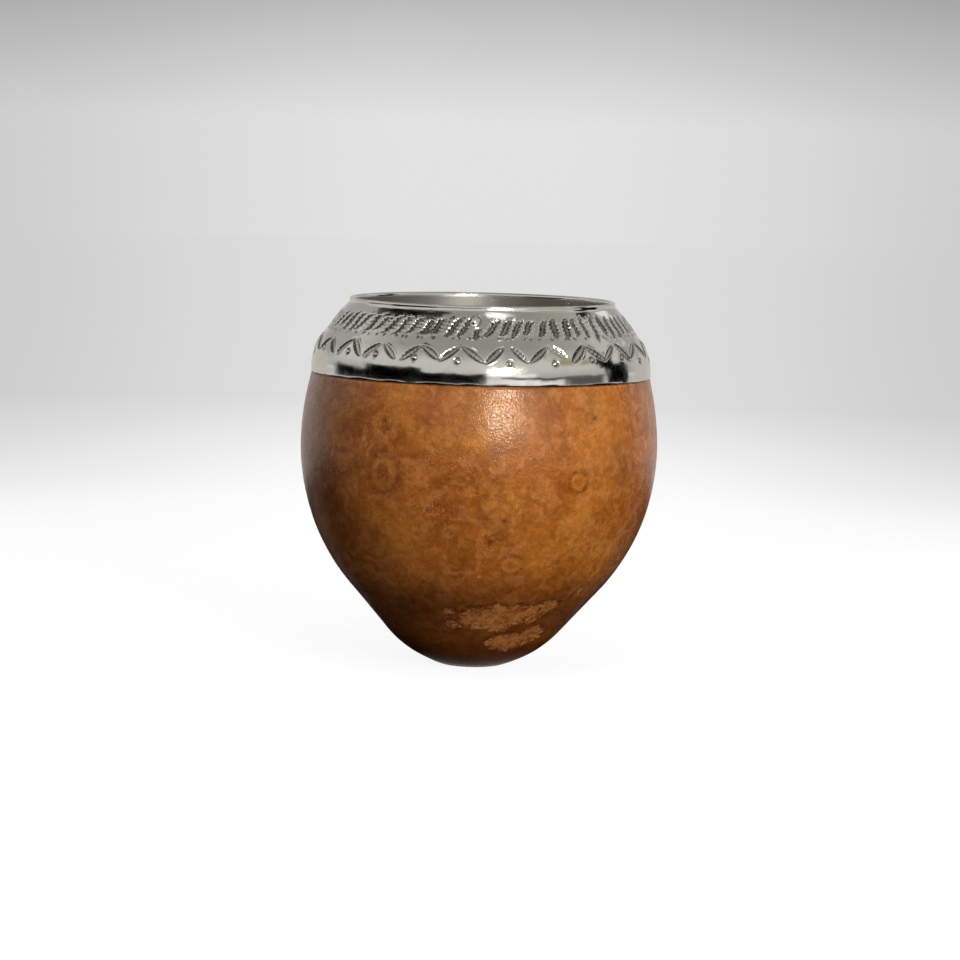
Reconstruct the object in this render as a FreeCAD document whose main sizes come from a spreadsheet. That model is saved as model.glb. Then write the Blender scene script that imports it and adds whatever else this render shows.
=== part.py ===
# A mate cup: a hollow gourd with a chased metal collar glued over its mouth.
# Millimetres, +Z up, the front towards -Y, the origin at the centre of the flat that the cup rests on.

import FreeCAD, Part
import PartDesign
import Sketcher
import math
import os

# Driving dimensions: lengths in millimetres, slopes, leans and turns in degrees.
SIZES = [
    ("rest_radius", 8.0, "sanded flat that the cup rests on"),
    ("base_arc", 28.8, "round of the gourd's lower end"),
    ("flank_angle", 41.1, "straight flank, from the vertical"),
    ("lower_arc", 52.3, "side of the gourd below its widest circle"),
    ("belly_radius", 44.0, "gourd, outside, at its widest"),
    ("upper_arc", 66.0, "side of the gourd above its widest circle"),
    ("seat_rise", 17.75, "from the widest circle up to the seat of the collar"),
    ("gourd_wall", 6.0, "wall of the gourd"),
    ("cut_edge", 2.35, "width of the gourd's cut edge, inside the collar"),
    ("glue_gap", 0.25, "between gourd and collar, inside and out"),
    ("sheet", 0.7, "metal of the collar"),
    ("band_proud", 0.1, "lower band of the collar, proud of the gourd below it"),
    ("band_height", 1.55, "lower band, from its edge to where it begins to turn in"),
    ("edge_round", 0.5, "outer lower edge of the collar"),
    ("shoulder_arc", 12.5, "round between the lower band and the cone"),
    ("cone_angle", 37.2, "cone of the collar, from the vertical"),
    ("collar_draw", 10.27, "from the outside of the band in to the bore of the mouth"),
    ("lip_round", 0.65, "half of the rolled lip's thickness"),
    ("lip_proud", 0.27, "rolled lip, proud of the cone"),
    ("sleeve_depth", 12.0, "sleeve, from the top of the lip down"),
    ("row_angle", 8.6, "first peak of the zigzag, round from the front"),
    ("leaf_count", 24, "pairs of leaves round the shoulder"),
    ("leaf_tilt", 28.0, "place of the leaf row, as the slope of the metal there"),
    ("leaf_length", 5.6, "leaf mark, tip to tip"),
    ("leaf_width", 1.4, "leaf mark, across"),
    ("leaf_angle", 42.0, "leaf mark, from the horizontal"),
    ("leaf_depth", 0.3, "leaf mark, at its middle"),
    ("pearl_tilt", 17.0, "place of the pearl row, as the slope of the metal there"),
    ("pearl_radius", 0.42, "raised pearl under each peak"),
    ("pearl_ring", 0.8, "outside of the ring punched round a pearl"),
    ("pearl_depth", 0.2, "ring punched round a pearl"),
    ("stroke_count", 72, "slanted strokes round the cone"),
    ("stroke_drop", 5.56, "from the lip down the cone to the middle of the strokes"),
    ("stroke_length", 4.8, "stroke, end to end"),
    ("stroke_width", 0.9, "stroke, across"),
    ("stroke_angle", 69.0, "stroke, from the horizontal"),
    ("stroke_depth", 0.2, "stroke, at its middle"),
]

# Places that both pieces share, worked out from the sheet.
FLANK = "(Sizes.flank_angle * 1 deg)"
CONE = "(Sizes.cone_angle * 1 deg)"
BASE_HEIGHT = "sqrt(Sizes.base_arc^2 - Sizes.rest_radius^2)"
BELLY_HEIGHT = (
    f"({BASE_HEIGHT} + (Sizes.lower_arc - Sizes.base_arc"
    f" - (Sizes.lower_arc - Sizes.belly_radius) * cos{FLANK}) / sin{FLANK})"
)
SEAT_HEIGHT = f"({BELLY_HEIGHT} + Sizes.seat_rise)"
SEAT_RADIUS = (
    "(Sizes.belly_radius - Sizes.upper_arc + sqrt(Sizes.upper_arc^2 - Sizes.seat_rise^2))"
)
BAND_RADIUS = f"({SEAT_RADIUS} + Sizes.band_proud)"
BORE_RADIUS = f"({BAND_RADIUS} - Sizes.collar_draw)"
SHOULDER_HEIGHT = f"({SEAT_HEIGHT} + Sizes.band_height)"
CONE_RADIUS = f"({BAND_RADIUS} - Sizes.shoulder_arc * (1 - cos{CONE}))"
CONE_HEIGHT = f"({SHOULDER_HEIGHT} + Sizes.shoulder_arc * sin{CONE})"
LIP_RADIUS = f"({BORE_RADIUS} + Sizes.lip_round)"
LIP_SINK = "(Sizes.lip_round - Sizes.lip_proud)"
LIP_HEIGHT = (
    f"({CONE_HEIGHT} + (({CONE_RADIUS} - {LIP_RADIUS}) * cos{CONE} - {LIP_SINK}) / sin{CONE})"
)
NECK_RADIUS = f"({BAND_RADIUS} - Sizes.sheet - Sizes.glue_gap)"
GOURD_BORE = f"({BORE_RADIUS} + Sizes.sheet + Sizes.glue_gap)"

SMOOTH = "Tangent"
CORNER = "Coincident"


def cell(alias):
    """Value of one driving dimension, for the first positions in a sketch."""
    return float(getattr(sizes, alias))


def worked_out(expression):
    """Value of a place that is worked out from the sheet, for the first positions in a sketch."""
    return float(sizes.evalExpression(expression))


def around(centre, radius, degrees):
    """Point on a circle, by its angle from the sketch's x axis."""
    turn = math.radians(degrees)
    return (centre[0] + radius * math.cos(turn), centre[1] + radius * math.sin(turn))


def origin_feature(body, role):
    """Plane or axis of a body's own origin."""
    return next(item for item in body.Origin.OriginFeatures if item.Role == role)


def new_body(label):
    body = doc.addObject("PartDesign::Body", label)
    body.Label = label
    return body


def new_sketch(body, name):
    """Sketch on the body's XZ plane: x is the radius, y the height, and the normal points to the front."""
    sketch = body.newObject("Sketcher::SketchObject", name)
    sketch.AttachmentSupport = (origin_feature(body, "XZ_Plane"), [""])
    sketch.MapMode = "FlatFace"
    return sketch


def bind(sketch, name, kind, expression, *where):
    """Add a named dimension to a sketch and bind it to the sheet."""
    value = sketch.evalExpression(expression)
    number = sketch.addConstraint(Sketcher.Constraint(kind, *where, value))
    sketch.renameConstraint(number, name)
    sketch.setExpression(f"Constraints.{name}", expression)


class Outline:
    """Closed outline of lines and arcs in one sketch, each piece from the end of the one before."""

    def __init__(self, sketch, start):
        self.sketch = sketch
        self.last = start
        self.numbers = {}
        self.ends = {}

    # The sketcher's own numbers for its origin and axes.

    @property
    def origin(self):
        return (-1, 1)

    @property
    def width_axis(self):
        return (-1,)

    @property
    def height_axis(self):
        return (-2,)

    def line(self, name, x, y):
        start = FreeCAD.Vector(*self.last, 0)
        self.numbers[name] = self.sketch.addGeometry(
            Part.LineSegment(start, FreeCAD.Vector(x, y, 0)), False
        )
        self.ends[name] = (1, 2)
        self.last = (x, y)

    def arc(self, name, centre, radius, begin, end):
        """Arc between two angles in degrees; it may run either way."""
        low, high = sorted((math.radians(begin), math.radians(end)))
        circle = Part.Circle(FreeCAD.Vector(*centre, 0), FreeCAD.Vector(0, 0, 1), radius)
        self.numbers[name] = self.sketch.addGeometry(Part.ArcOfCircle(circle, low, high), False)
        self.ends[name] = (1, 2) if begin < end else (2, 1)
        self.last = around(centre, radius, end)

    def start(self, name):
        return (self.numbers[name], self.ends[name][0])

    def end(self, name):
        return (self.numbers[name], self.ends[name][1])

    def centre(self, name):
        return (self.numbers[name], 3)

    def join(self, *chain):
        """Join pieces end to start: a piece, how it meets the next, the next piece, and so on."""
        for before, kind, after in zip(chain[0::2], chain[1::2], chain[2::2]):
            self.rule(kind, self.end(before), self.start(after))

    def rule(self, kind, *places):
        """Rule without a size, between points or on whole pieces given by name."""
        flat = []
        for place in places:
            flat += [self.numbers[place]] if isinstance(place, str) else list(place)
        self.sketch.addConstraint(Sketcher.Constraint(kind, *flat))

    def across(self, name, place, expression):
        """Distance of a point from the height axis."""
        bind(self.sketch, name, "DistanceX", expression, *self.origin, *place)

    def height(self, name, place, expression):
        """Height of a point above the origin."""
        bind(self.sketch, name, "DistanceY", expression, *self.origin, *place)

    def rise(self, name, low, high, expression):
        """Height of one point above another."""
        bind(self.sketch, name, "DistanceY", expression, *low, *high)

    def radius(self, piece, expression):
        bind(self.sketch, f"{piece}_radius", "Radius", expression, self.numbers[piece])

    def slope(self, piece, expression):
        """Angle of a line from the sketch's x axis."""
        bind(self.sketch, f"{piece}_slope", "Angle", expression, self.numbers[piece])


def revolve(body, sketch):
    """Turn a half section into the body's solid."""
    turned = body.newObject("PartDesign::Revolution", f"{sketch.Name}_turned")
    turned.Profile = sketch
    turned.ReferenceAxis = (sketch, ["V_Axis"])
    turned.Angle = 360.0
    sketch.Visibility = False


# Gourd


def draw_gourd(sketch):
    """Half section of the gourd: outside from the rest up, neck under the collar, inside back down."""
    wall, slope, cone = cell("gourd_wall"), cell("flank_angle"), cell("cone_angle")
    upper, lower, base = cell("upper_arc"), cell("lower_arc"), cell("base_arc")
    belly, seat = worked_out(BELLY_HEIGHT), worked_out(SEAT_HEIGHT)
    upper_centre = (cell("belly_radius") - upper, belly)
    lower_centre = (cell("belly_radius") - lower, belly)
    base_centre = (0.0, worked_out(BASE_HEIGHT))
    rest_turn = -math.degrees(math.acos(cell("rest_radius") / base))
    seat_turn = math.degrees(math.asin(cell("seat_rise") / upper))
    neck = worked_out(NECK_RADIUS)
    round_arc = cell("shoulder_arc") - cell("sheet") - cell("glue_gap")
    round_centre = (neck - round_arc, seat + cell("band_height"))
    cone_foot = around(round_centre, round_arc, cone)
    bore = worked_out(GOURD_BORE)
    edge_radius = bore + cell("cut_edge")
    edge_height = cone_foot[1] + (cone_foot[0] - edge_radius) / math.tan(math.radians(cone))
    bore_turn = math.degrees(math.acos((bore - upper_centre[0]) / (upper - wall)))

    outline = Outline(sketch, (0.0, 0.0))
    outline.line("rest", cell("rest_radius"), 0.0)
    outline.arc("base", base_centre, base, rest_turn, -slope)
    outline.line("flank", *around(lower_centre, lower, -slope))
    outline.arc("lower", lower_centre, lower, -slope, 0.0)
    outline.arc("upper", upper_centre, upper, 0.0, seat_turn)
    outline.line("seat", neck, seat)
    outline.line("neck_band", neck, round_centre[1])
    outline.arc("neck_round", round_centre, round_arc, 0.0, cone)
    outline.line("neck_cone", edge_radius, edge_height)
    outline.line("cut_edge", bore, edge_height)
    outline.line("bore", *around(upper_centre, upper - wall, bore_turn))
    outline.arc("inner_upper", upper_centre, upper - wall, bore_turn, 0.0)
    outline.arc("inner_lower", lower_centre, lower - wall, 0.0, -slope)
    outline.line("inner_flank", *around(base_centre, base - wall, -slope))
    outline.arc("floor", base_centre, base - wall, -slope, -90.0)
    outline.line("axis", 0.0, 0.0)

    outline.join("rest", CORNER, "base", SMOOTH, "flank", SMOOTH, "lower", SMOOTH, "upper")
    outline.join("upper", CORNER, "seat", CORNER, "neck_band", SMOOTH, "neck_round")
    outline.join("neck_round", SMOOTH, "neck_cone", CORNER, "cut_edge", CORNER, "bore")
    outline.join("bore", CORNER, "inner_upper", CORNER, "inner_lower", SMOOTH, "inner_flank")
    outline.join("inner_flank", SMOOTH, "floor", CORNER, "axis", CORNER, "rest")
    for name in ("rest", "seat", "cut_edge"):
        outline.rule("Horizontal", name)
    for name in ("neck_band", "bore"):
        outline.rule("Vertical", name)
    outline.rule(CORNER, outline.start("rest"), outline.origin)
    outline.rule("PointOnObject", outline.centre("base"), outline.height_axis)
    outline.rule("PointOnObject", outline.end("floor"), outline.height_axis)
    outline.rule("Horizontal", outline.centre("lower"), outline.end("lower"))
    outline.rule("Horizontal", outline.centre("inner_upper"), outline.end("inner_upper"))
    outline.rule("Parallel", "flank", "inner_flank")
    for inside, outside in (("inner_upper", "upper"), ("inner_lower", "lower"), ("floor", "base")):
        outline.rule(CORNER, outline.centre(inside), outline.centre(outside))

    outline.across("rest_radius", outline.end("rest"), "Sizes.rest_radius")
    outline.radius("base", "Sizes.base_arc")
    outline.slope("flank", f"90 deg - {FLANK}")
    outline.radius("lower", "Sizes.lower_arc")
    outline.across("belly_radius", outline.end("lower"), "Sizes.belly_radius")
    outline.radius("upper", "Sizes.upper_arc")
    outline.rise("seat_rise", outline.start("upper"), outline.end("upper"), "Sizes.seat_rise")
    outline.across("neck_radius", outline.start("neck_band"), NECK_RADIUS)
    outline.rise(
        "band_height", outline.start("neck_band"), outline.end("neck_band"), "Sizes.band_height"
    )
    outline.radius("neck_round", "Sizes.shoulder_arc - Sizes.sheet - Sizes.glue_gap")
    outline.slope("neck_cone", f"90 deg + {CONE}")
    outline.across("edge_radius", outline.start("cut_edge"), f"{GOURD_BORE} + Sizes.cut_edge")
    outline.across("bore_radius", outline.start("bore"), GOURD_BORE)
    outline.radius("inner_upper", "Sizes.upper_arc - Sizes.gourd_wall")


def build_gourd():
    body = new_body("gourd_shell")
    sketch = new_sketch(body, "gourd_section")
    draw_gourd(sketch)
    revolve(body, sketch)
    return body


# Collar


def draw_collar(sketch):
    """Half section of the collar: skirt from its lower edge up, lip, sleeve, inside of the skirt."""
    sheet, edge, cone = cell("sheet"), cell("edge_round"), cell("cone_angle")
    band, seat = worked_out(BAND_RADIUS), worked_out(SEAT_HEIGHT)
    shoulder, lip = cell("shoulder_arc"), cell("lip_round")
    centre = (band - shoulder, worked_out(SHOULDER_HEIGHT))
    lip_centre = (worked_out(LIP_RADIUS), worked_out(LIP_HEIGHT))
    bore = lip_centre[0] - lip
    sleeve_end = lip_centre[1] + lip - cell("sleeve_depth")
    crease_turn = cone - math.degrees(math.acos(worked_out(LIP_SINK) / lip))
    fold_height = centre[1] + (band - bore) / math.tan(math.radians(cone))

    outline = Outline(sketch, (band - sheet, seat))
    outline.line("edge", band - edge, seat)
    outline.arc("edge_curve", (band - edge, seat + edge), edge, -90.0, 0.0)
    outline.line("band", band, centre[1])
    outline.arc("shoulder", centre, shoulder, 0.0, cone)
    outline.line("cone", *around(lip_centre, lip, crease_turn))
    outline.arc("lip", lip_centre, lip, crease_turn, 180.0)
    outline.line("sleeve_inside", bore, sleeve_end)
    outline.line("sleeve_edge", bore + sheet, sleeve_end)
    outline.line("sleeve_outside", bore + sheet, fold_height)
    outline.line("cone_inside", *around(centre, shoulder - sheet, cone))
    outline.arc("shoulder_inside", centre, shoulder - sheet, cone, 0.0)
    outline.line("band_inside", band - sheet, seat)

    outline.join("edge", SMOOTH, "edge_curve", SMOOTH, "band", SMOOTH, "shoulder", SMOOTH, "cone")
    outline.join("cone", CORNER, "lip", SMOOTH, "sleeve_inside", CORNER, "sleeve_edge")
    outline.join("sleeve_edge", CORNER, "sleeve_outside", CORNER, "cone_inside")
    outline.join("cone_inside", SMOOTH, "shoulder_inside", SMOOTH, "band_inside", CORNER, "edge")
    for name in ("edge", "sleeve_edge"):
        outline.rule("Horizontal", name)
    for name in ("band", "sleeve_inside", "sleeve_outside", "band_inside"):
        outline.rule("Vertical", name)
    outline.rule("Parallel", "cone", "cone_inside")
    outline.rule(CORNER, outline.centre("shoulder_inside"), outline.centre("shoulder"))

    outline.height("seat_height", outline.start("edge"), SEAT_HEIGHT)
    outline.radius("edge_curve", "Sizes.edge_round")
    outline.across("band_radius", outline.start("band"), BAND_RADIUS)
    outline.rise("band_height", outline.start("edge"), outline.end("band"), "Sizes.band_height")
    outline.radius("shoulder", "Sizes.shoulder_arc")
    outline.slope("cone", f"90 deg + {CONE}")
    outline.radius("lip", "Sizes.lip_round")
    outline.across("bore_radius", outline.start("sleeve_inside"), BORE_RADIUS)
    outline.height("lip_height", outline.centre("lip"), LIP_HEIGHT)
    outline.rise(
        "sleeve_depth",
        outline.end("sleeve_inside"),
        outline.centre("lip"),
        "Sizes.sleeve_depth - Sizes.lip_round",
    )
    outline.across("sleeve_radius", outline.end("sleeve_edge"), f"{BORE_RADIUS} + Sizes.sheet")
    outline.radius("shoulder_inside", "Sizes.shoulder_arc - Sizes.sheet")


def on_metal(sketch, radius, height, tilt, turn, lean):
    """Lay a sketch flat on the collar's outside, turned from the front and leaned in its own plane."""
    sketch.setExpression(
        "AttachmentOffset",
        f"placement(vector(({radius}) * sin({turn}); {height}; ({radius}) * cos({turn}));"
        f" rotation(vector(0; 1; 0); {turn})"
        f" * rotation(vector(1; 0; 0); -({tilt}))"
        f" * rotation(vector(0; 0; 1); {lean}))",
    )


def on_shoulder(sketch, tilt, turn, lean):
    """Lay a sketch on the round shoulder, where the metal has this slope."""
    radius = f"{BAND_RADIUS} - Sizes.shoulder_arc * (1 - cos({tilt}))"
    height = f"{SHOULDER_HEIGHT} + Sizes.shoulder_arc * sin({tilt})"
    on_metal(sketch, radius, height, tilt, turn, lean)


def on_cone(sketch, drop, turn, lean):
    """Lay a sketch on the cone, this far down from the lip."""
    radius = f"{LIP_RADIUS} + {LIP_SINK} * cos{CONE} + {drop} * sin{CONE}"
    height = f"{LIP_HEIGHT} + {LIP_SINK} * sin{CONE} - {drop} * cos{CONE}"
    on_metal(sketch, radius, height, CONE, turn, lean)


def draw_leaf(sketch, kind):
    """Long diamond, as a leaf or stroke is cut: tips on the sketch's x axis, sides on its y axis."""
    half_length, half_width = cell(f"{kind}_length") / 2, cell(f"{kind}_width") / 2
    leaf = Outline(sketch, (half_length, 0.0))
    leaf.line("upper_right", 0.0, half_width)
    leaf.line("upper_left", -half_length, 0.0)
    leaf.line("lower_left", 0.0, -half_width)
    leaf.line("lower_right", half_length, 0.0)
    leaf.join("upper_right", CORNER, "upper_left", CORNER, "lower_left", CORNER, "lower_right")
    leaf.join("lower_right", CORNER, "upper_right")
    tip, side = leaf.start("upper_right"), leaf.start("upper_left")
    leaf.rule("PointOnObject", tip, leaf.width_axis)
    leaf.rule("PointOnObject", side, leaf.height_axis)
    leaf.rule("Symmetric", tip, leaf.start("lower_left"), leaf.origin)
    leaf.rule("Symmetric", side, leaf.start("lower_right"), leaf.origin)
    leaf.across("half_length", tip, f"Sizes.{kind}_length / 2")
    leaf.height("half_width", side, f"Sizes.{kind}_width / 2")


def draw_hexagon(sketch, size):
    """Hexagon about the sketch's origin, with its corners on a circle of this size."""
    circle = Part.Circle(FreeCAD.Vector(), FreeCAD.Vector(0, 0, 1), cell(size))
    number = sketch.addGeometry(circle, True)
    bind(sketch, size, "Radius", f"Sizes.{size}", number)
    hexagon = Outline(sketch, (cell(size), 0.0))
    hexagon.rule(CORNER, (number, 3), hexagon.origin)
    sides = [f"side_{turn}" for turn in range(60, 420, 60)]
    for side, turn in zip(sides, range(60, 420, 60)):
        hexagon.line(side, *around((0.0, 0.0), cell(size), turn))
    for before, after in zip(sides, sides[1:] + sides[:1]):
        hexagon.join(before, CORNER, after)
        hexagon.rule("PointOnObject", hexagon.start(before), (number,))
    for side in sides[1:]:
        hexagon.rule("Equal", sides[0], side)
    hexagon.rule("PointOnObject", hexagon.start(sides[0]), hexagon.width_axis)


def draw_ring(sketch):
    """Ring round a pearl."""
    draw_hexagon(sketch, "pearl_radius")
    draw_hexagon(sketch, "pearl_ring")


def punch(body, sketch, depth):
    """Sink a sketch's outline into the metal, and check that it takes some away."""
    doc.recompute()
    before = body.Shape.Volume
    pocket = body.newObject("PartDesign::Pocket", f"{sketch.Name}_punched")
    pocket.Profile = sketch
    pocket.setExpression("Length", depth)
    sketch.Visibility = False
    doc.recompute()
    if body.Shape.Volume >= before:
        raise RuntimeError(f"{sketch.Name} takes no metal away")
    return pocket


def repeat(body, name, features, count):
    """Copy features in equal steps all the way round the height axis."""
    pattern = body.newObject("PartDesign::PolarPattern", name)
    pattern.Originals = features
    pattern.Axis = (origin_feature(body, "Z_Axis"), [""])
    pattern.Angle = 360.0
    pattern.setExpression("Occurrences", count)
    body.Tip = pattern


def build_collar():
    body = new_body("rim_collar")
    section = new_sketch(body, "collar_section")
    draw_collar(section)
    revolve(body, section)

    peak = "Sizes.row_angle * 1 deg"
    quarter_unit = "(90 deg / Sizes.leaf_count)"
    row = "Sizes.leaf_tilt * 1 deg"
    lean = "Sizes.leaf_angle * 1 deg"
    rising = new_sketch(body, "rising_leaf")
    on_shoulder(rising, row, f"({peak} - {quarter_unit})", lean)
    falling = new_sketch(body, "falling_leaf")
    on_shoulder(falling, row, f"({peak} + {quarter_unit})", f"-{lean}")
    punched = []
    for sketch in (rising, falling):
        draw_leaf(sketch, "leaf")
        punched.append(punch(body, sketch, "Sizes.leaf_depth"))
    ring = new_sketch(body, "pearl_ring")
    on_shoulder(ring, "Sizes.pearl_tilt * 1 deg", peak, "0 deg")
    draw_ring(ring)
    punched.append(punch(body, ring, "Sizes.pearl_depth"))
    repeat(body, "leaf_row", punched, "Sizes.leaf_count")

    stroke = new_sketch(body, "stroke")
    on_cone(stroke, "Sizes.stroke_drop", peak, "Sizes.stroke_angle * 1 deg")
    draw_leaf(stroke, "stroke")
    repeat(body, "stroke_row", [punch(body, stroke, "Sizes.stroke_depth")], "Sizes.stroke_count")
    return body


def fill_sheet():
    """Put the driving dimensions into a sheet, each under its own alias."""
    sheet = doc.addObject("Spreadsheet::Sheet", "Sizes")
    for row, (alias, value, meaning) in enumerate(SIZES, start=1):
        sheet.set(f"A{row}", meaning)
        sheet.set(f"B{row}", str(value))
        sheet.setAlias(f"B{row}", alias)
    doc.recompute()
    return sheet


def check(bodies):
    """Stop before anything is written if an object failed or a solid is bad."""
    for item in doc.Objects:
        if "Invalid" in item.State or "Error" in item.State:
            raise RuntimeError(f"{item.Label} failed: {item.State}")
    for body in bodies:
        if body.Shape.isNull() or not body.Shape.isValid() or len(body.Shape.Solids) != 1:
            raise RuntimeError(f"{body.Label} is not one valid solid")


doc = FreeCAD.newDocument("MateCup")
sizes = fill_sheet()
bodies = [build_gourd(), build_collar()]
doc.recompute()
check(bodies)
os.makedirs("parts", exist_ok=True)
for body in bodies:
    body.Shape.exportStep(f"parts/{body.Label}.step")
    print(body.Label, round(body.Shape.Volume, 1), "cubic millimetres")
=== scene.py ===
"""A mate cup: a varnished gourd with a chased metal collar over its mouth.

The pieces are built in millimetres and put into Blender in metres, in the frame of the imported
model: +Z up, the front towards -Y, the origin at the middle of the flat that the cup rests on.
"""

import logging
import math
from collections.abc import Callable
from dataclasses import dataclass, field, replace
from enum import Enum
from typing import NamedTuple

import bmesh
import bpy
import numpy as np
from mathutils import Matrix, Vector, noise


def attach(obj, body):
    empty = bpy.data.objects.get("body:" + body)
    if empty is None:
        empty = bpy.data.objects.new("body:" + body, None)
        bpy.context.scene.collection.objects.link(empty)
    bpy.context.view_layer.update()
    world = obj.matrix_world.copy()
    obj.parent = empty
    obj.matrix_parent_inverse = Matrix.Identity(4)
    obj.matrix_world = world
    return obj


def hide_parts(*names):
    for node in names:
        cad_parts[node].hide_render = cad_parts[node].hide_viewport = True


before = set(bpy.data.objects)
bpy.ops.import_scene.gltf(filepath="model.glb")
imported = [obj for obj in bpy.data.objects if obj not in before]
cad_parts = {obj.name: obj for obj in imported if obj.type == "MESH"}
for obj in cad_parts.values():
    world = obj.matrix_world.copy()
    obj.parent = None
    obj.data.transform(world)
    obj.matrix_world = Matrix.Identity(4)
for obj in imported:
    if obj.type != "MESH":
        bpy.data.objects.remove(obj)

LOG = logging.getLogger("mate_cup")
METRE = 0.001
BODY = "root"

Point = tuple[float, float]
Colour = tuple[float, float, float]
Array = np.ndarray
Socket = bpy.types.NodeSocket
Thing = bpy.types.Object


class Slot(Enum):
    """Material slots of the record."""

    GOURD = "gourd"
    METAL = "collar_metal"


# Shape of the cup


@dataclass(frozen=True)
class CupForm:
    """Sizes that the gourd and the collar share, in millimetres and degrees."""

    rest_radius: float = 8.0
    base_arc: float = 28.8
    flank_angle: float = 41.1
    lower_arc: float = 52.3
    belly_radius: float = 44.0
    upper_arc: float = 66.0
    seat_rise: float = 17.75
    gourd_wall: float = 6.0
    cut_edge: float = 2.35
    glue_gap: float = 0.25
    sheet: float = 0.7
    band_proud: float = 0.1
    band_height: float = 1.55
    edge_round: float = 0.5
    shoulder_arc: float = 12.5
    cone_angle: float = 37.2
    collar_draw: float = 10.27
    lip_round: float = 0.65
    lip_proud: float = 0.27
    sleeve_depth: float = 12.0

    @property
    def base_centre(self) -> Point:
        """Centre of the base arc, as radius and height."""
        return (0.0, math.sqrt(self.base_arc**2 - self.rest_radius**2))

    @property
    def belly_height(self) -> float:
        """Height of the widest circle, where the flank meets both arcs smoothly.

        Returns:
            The height in millimetres.
        """
        flank = math.radians(self.flank_angle)
        across = self.lower_arc - self.base_arc
        across -= (self.lower_arc - self.belly_radius) * math.cos(flank)
        return self.base_centre[1] + across / math.sin(flank)

    @property
    def lower_centre(self) -> Point:
        """Centre of the arc between the flank and the belly."""
        return (self.belly_radius - self.lower_arc, self.belly_height)

    @property
    def upper_centre(self) -> Point:
        """Centre of the arc between the belly and the collar's seat."""
        return (self.belly_radius - self.upper_arc, self.belly_height)

    @property
    def seat_height(self) -> float:
        """Height of the collar's lower edge."""
        return self.belly_height + self.seat_rise

    @property
    def band_radius(self) -> float:
        """Outside of the collar's lower band, a little proud of the gourd's seat."""
        reach = math.sqrt(self.upper_arc**2 - self.seat_rise**2)
        return self.belly_radius - self.upper_arc + reach + self.band_proud

    @property
    def bore_radius(self) -> float:
        """Inside of the sleeve in the mouth."""
        return self.band_radius - self.collar_draw

    @property
    def shoulder_centre(self) -> Point:
        """Centre of the shoulder's round."""
        return (self.band_radius - self.shoulder_arc, self.seat_height + self.band_height)

    @property
    def slope(self) -> float:
        """Angle of the cone in radians."""
        return math.radians(self.cone_angle)

    @property
    def lip_centre(self) -> Point:
        """Centre of the rolled lip.

        Returns:
            Its radius and height.
        """
        radius = self.bore_radius + self.lip_round
        foot = self.cone_foot(0.0)
        sink = self.lip_round - self.lip_proud
        rise = ((foot[0] - radius) * math.cos(self.slope) - sink) / math.sin(self.slope)
        return (radius, foot[1] + rise)

    @property
    def crease_turn(self) -> float:
        """Place on the lip where the cone runs into it, in degrees."""
        sink = self.lip_round - self.lip_proud
        return self.cone_angle - math.degrees(math.acos(sink / self.lip_round))

    @property
    def crease(self) -> Point:
        """Crease where the cone runs into the lip."""
        return around(self.lip_centre, self.lip_round, self.crease_turn)

    def cone_foot(self, sunk: float) -> Point:
        """Where the shoulder turns into the cone, on a surface sunk this far."""
        return around(self.shoulder_centre, self.shoulder_arc - sunk, self.cone_angle)

    def cone_height(self, sunk: float, radius: float) -> float:
        """Height of the cone at a radius, on a surface sunk this far."""
        foot = self.cone_foot(sunk)
        return foot[1] + (foot[0] - radius) / math.tan(self.slope)


def around(centre: Point, radius: float, degrees: float) -> Point:
    """Point on a circle, by its angle from the radius axis."""
    turn = math.radians(degrees)
    return (centre[0] + radius * math.cos(turn), centre[1] + radius * math.sin(turn))


class Path:
    """Half section drawn as points of radius and height, in millimetres."""

    def __init__(self, radius: float, height: float, step: float) -> None:
        """Start at a point, with the largest distance between two points."""
        self.points: list[Point] = [(radius, height)]
        self.step = step

    def line(self, radius: float, height: float) -> None:
        """Go straight to a point.

        Args:
            radius: Radius of the end.
            height: Height of the end.
        """
        start = self.points[-1]
        count = max(1, round(math.hypot(radius - start[0], height - start[1]) / self.step))
        for share in (part / count for part in range(1, count + 1)):
            self.points.append(
                (start[0] + (radius - start[0]) * share, start[1] + (height - start[1]) * share)
            )

    def arc(self, centre: Point, radius: float, begin: float, end: float) -> None:
        """Go round part of a circle, first straight to its beginning if that lies apart.

        Args:
            centre: Centre of the circle.
            radius: Radius of the circle.
            begin: Angle of the beginning, in degrees.
            end: Angle of the end, in degrees.
        """
        first = around(centre, radius, begin)
        if math.dist(first, self.points[-1]) > 0.5 * self.step:
            self.points.append(first)
        count = max(1, round(math.radians(abs(end - begin)) * radius / self.step))
        for part in range(1, count + 1):
            self.points.append(around(centre, radius, begin + (end - begin) * part / count))


def add(name: str, data: bpy.types.ID) -> Thing:
    """New object of this data, linked to the scene.

    Args:
        name: Its name.
        data: Its mesh, light or camera.

    Returns:
        The object.
    """
    made = bpy.data.objects.new(name, data)
    bpy.context.scene.collection.objects.link(made)
    return made


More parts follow.
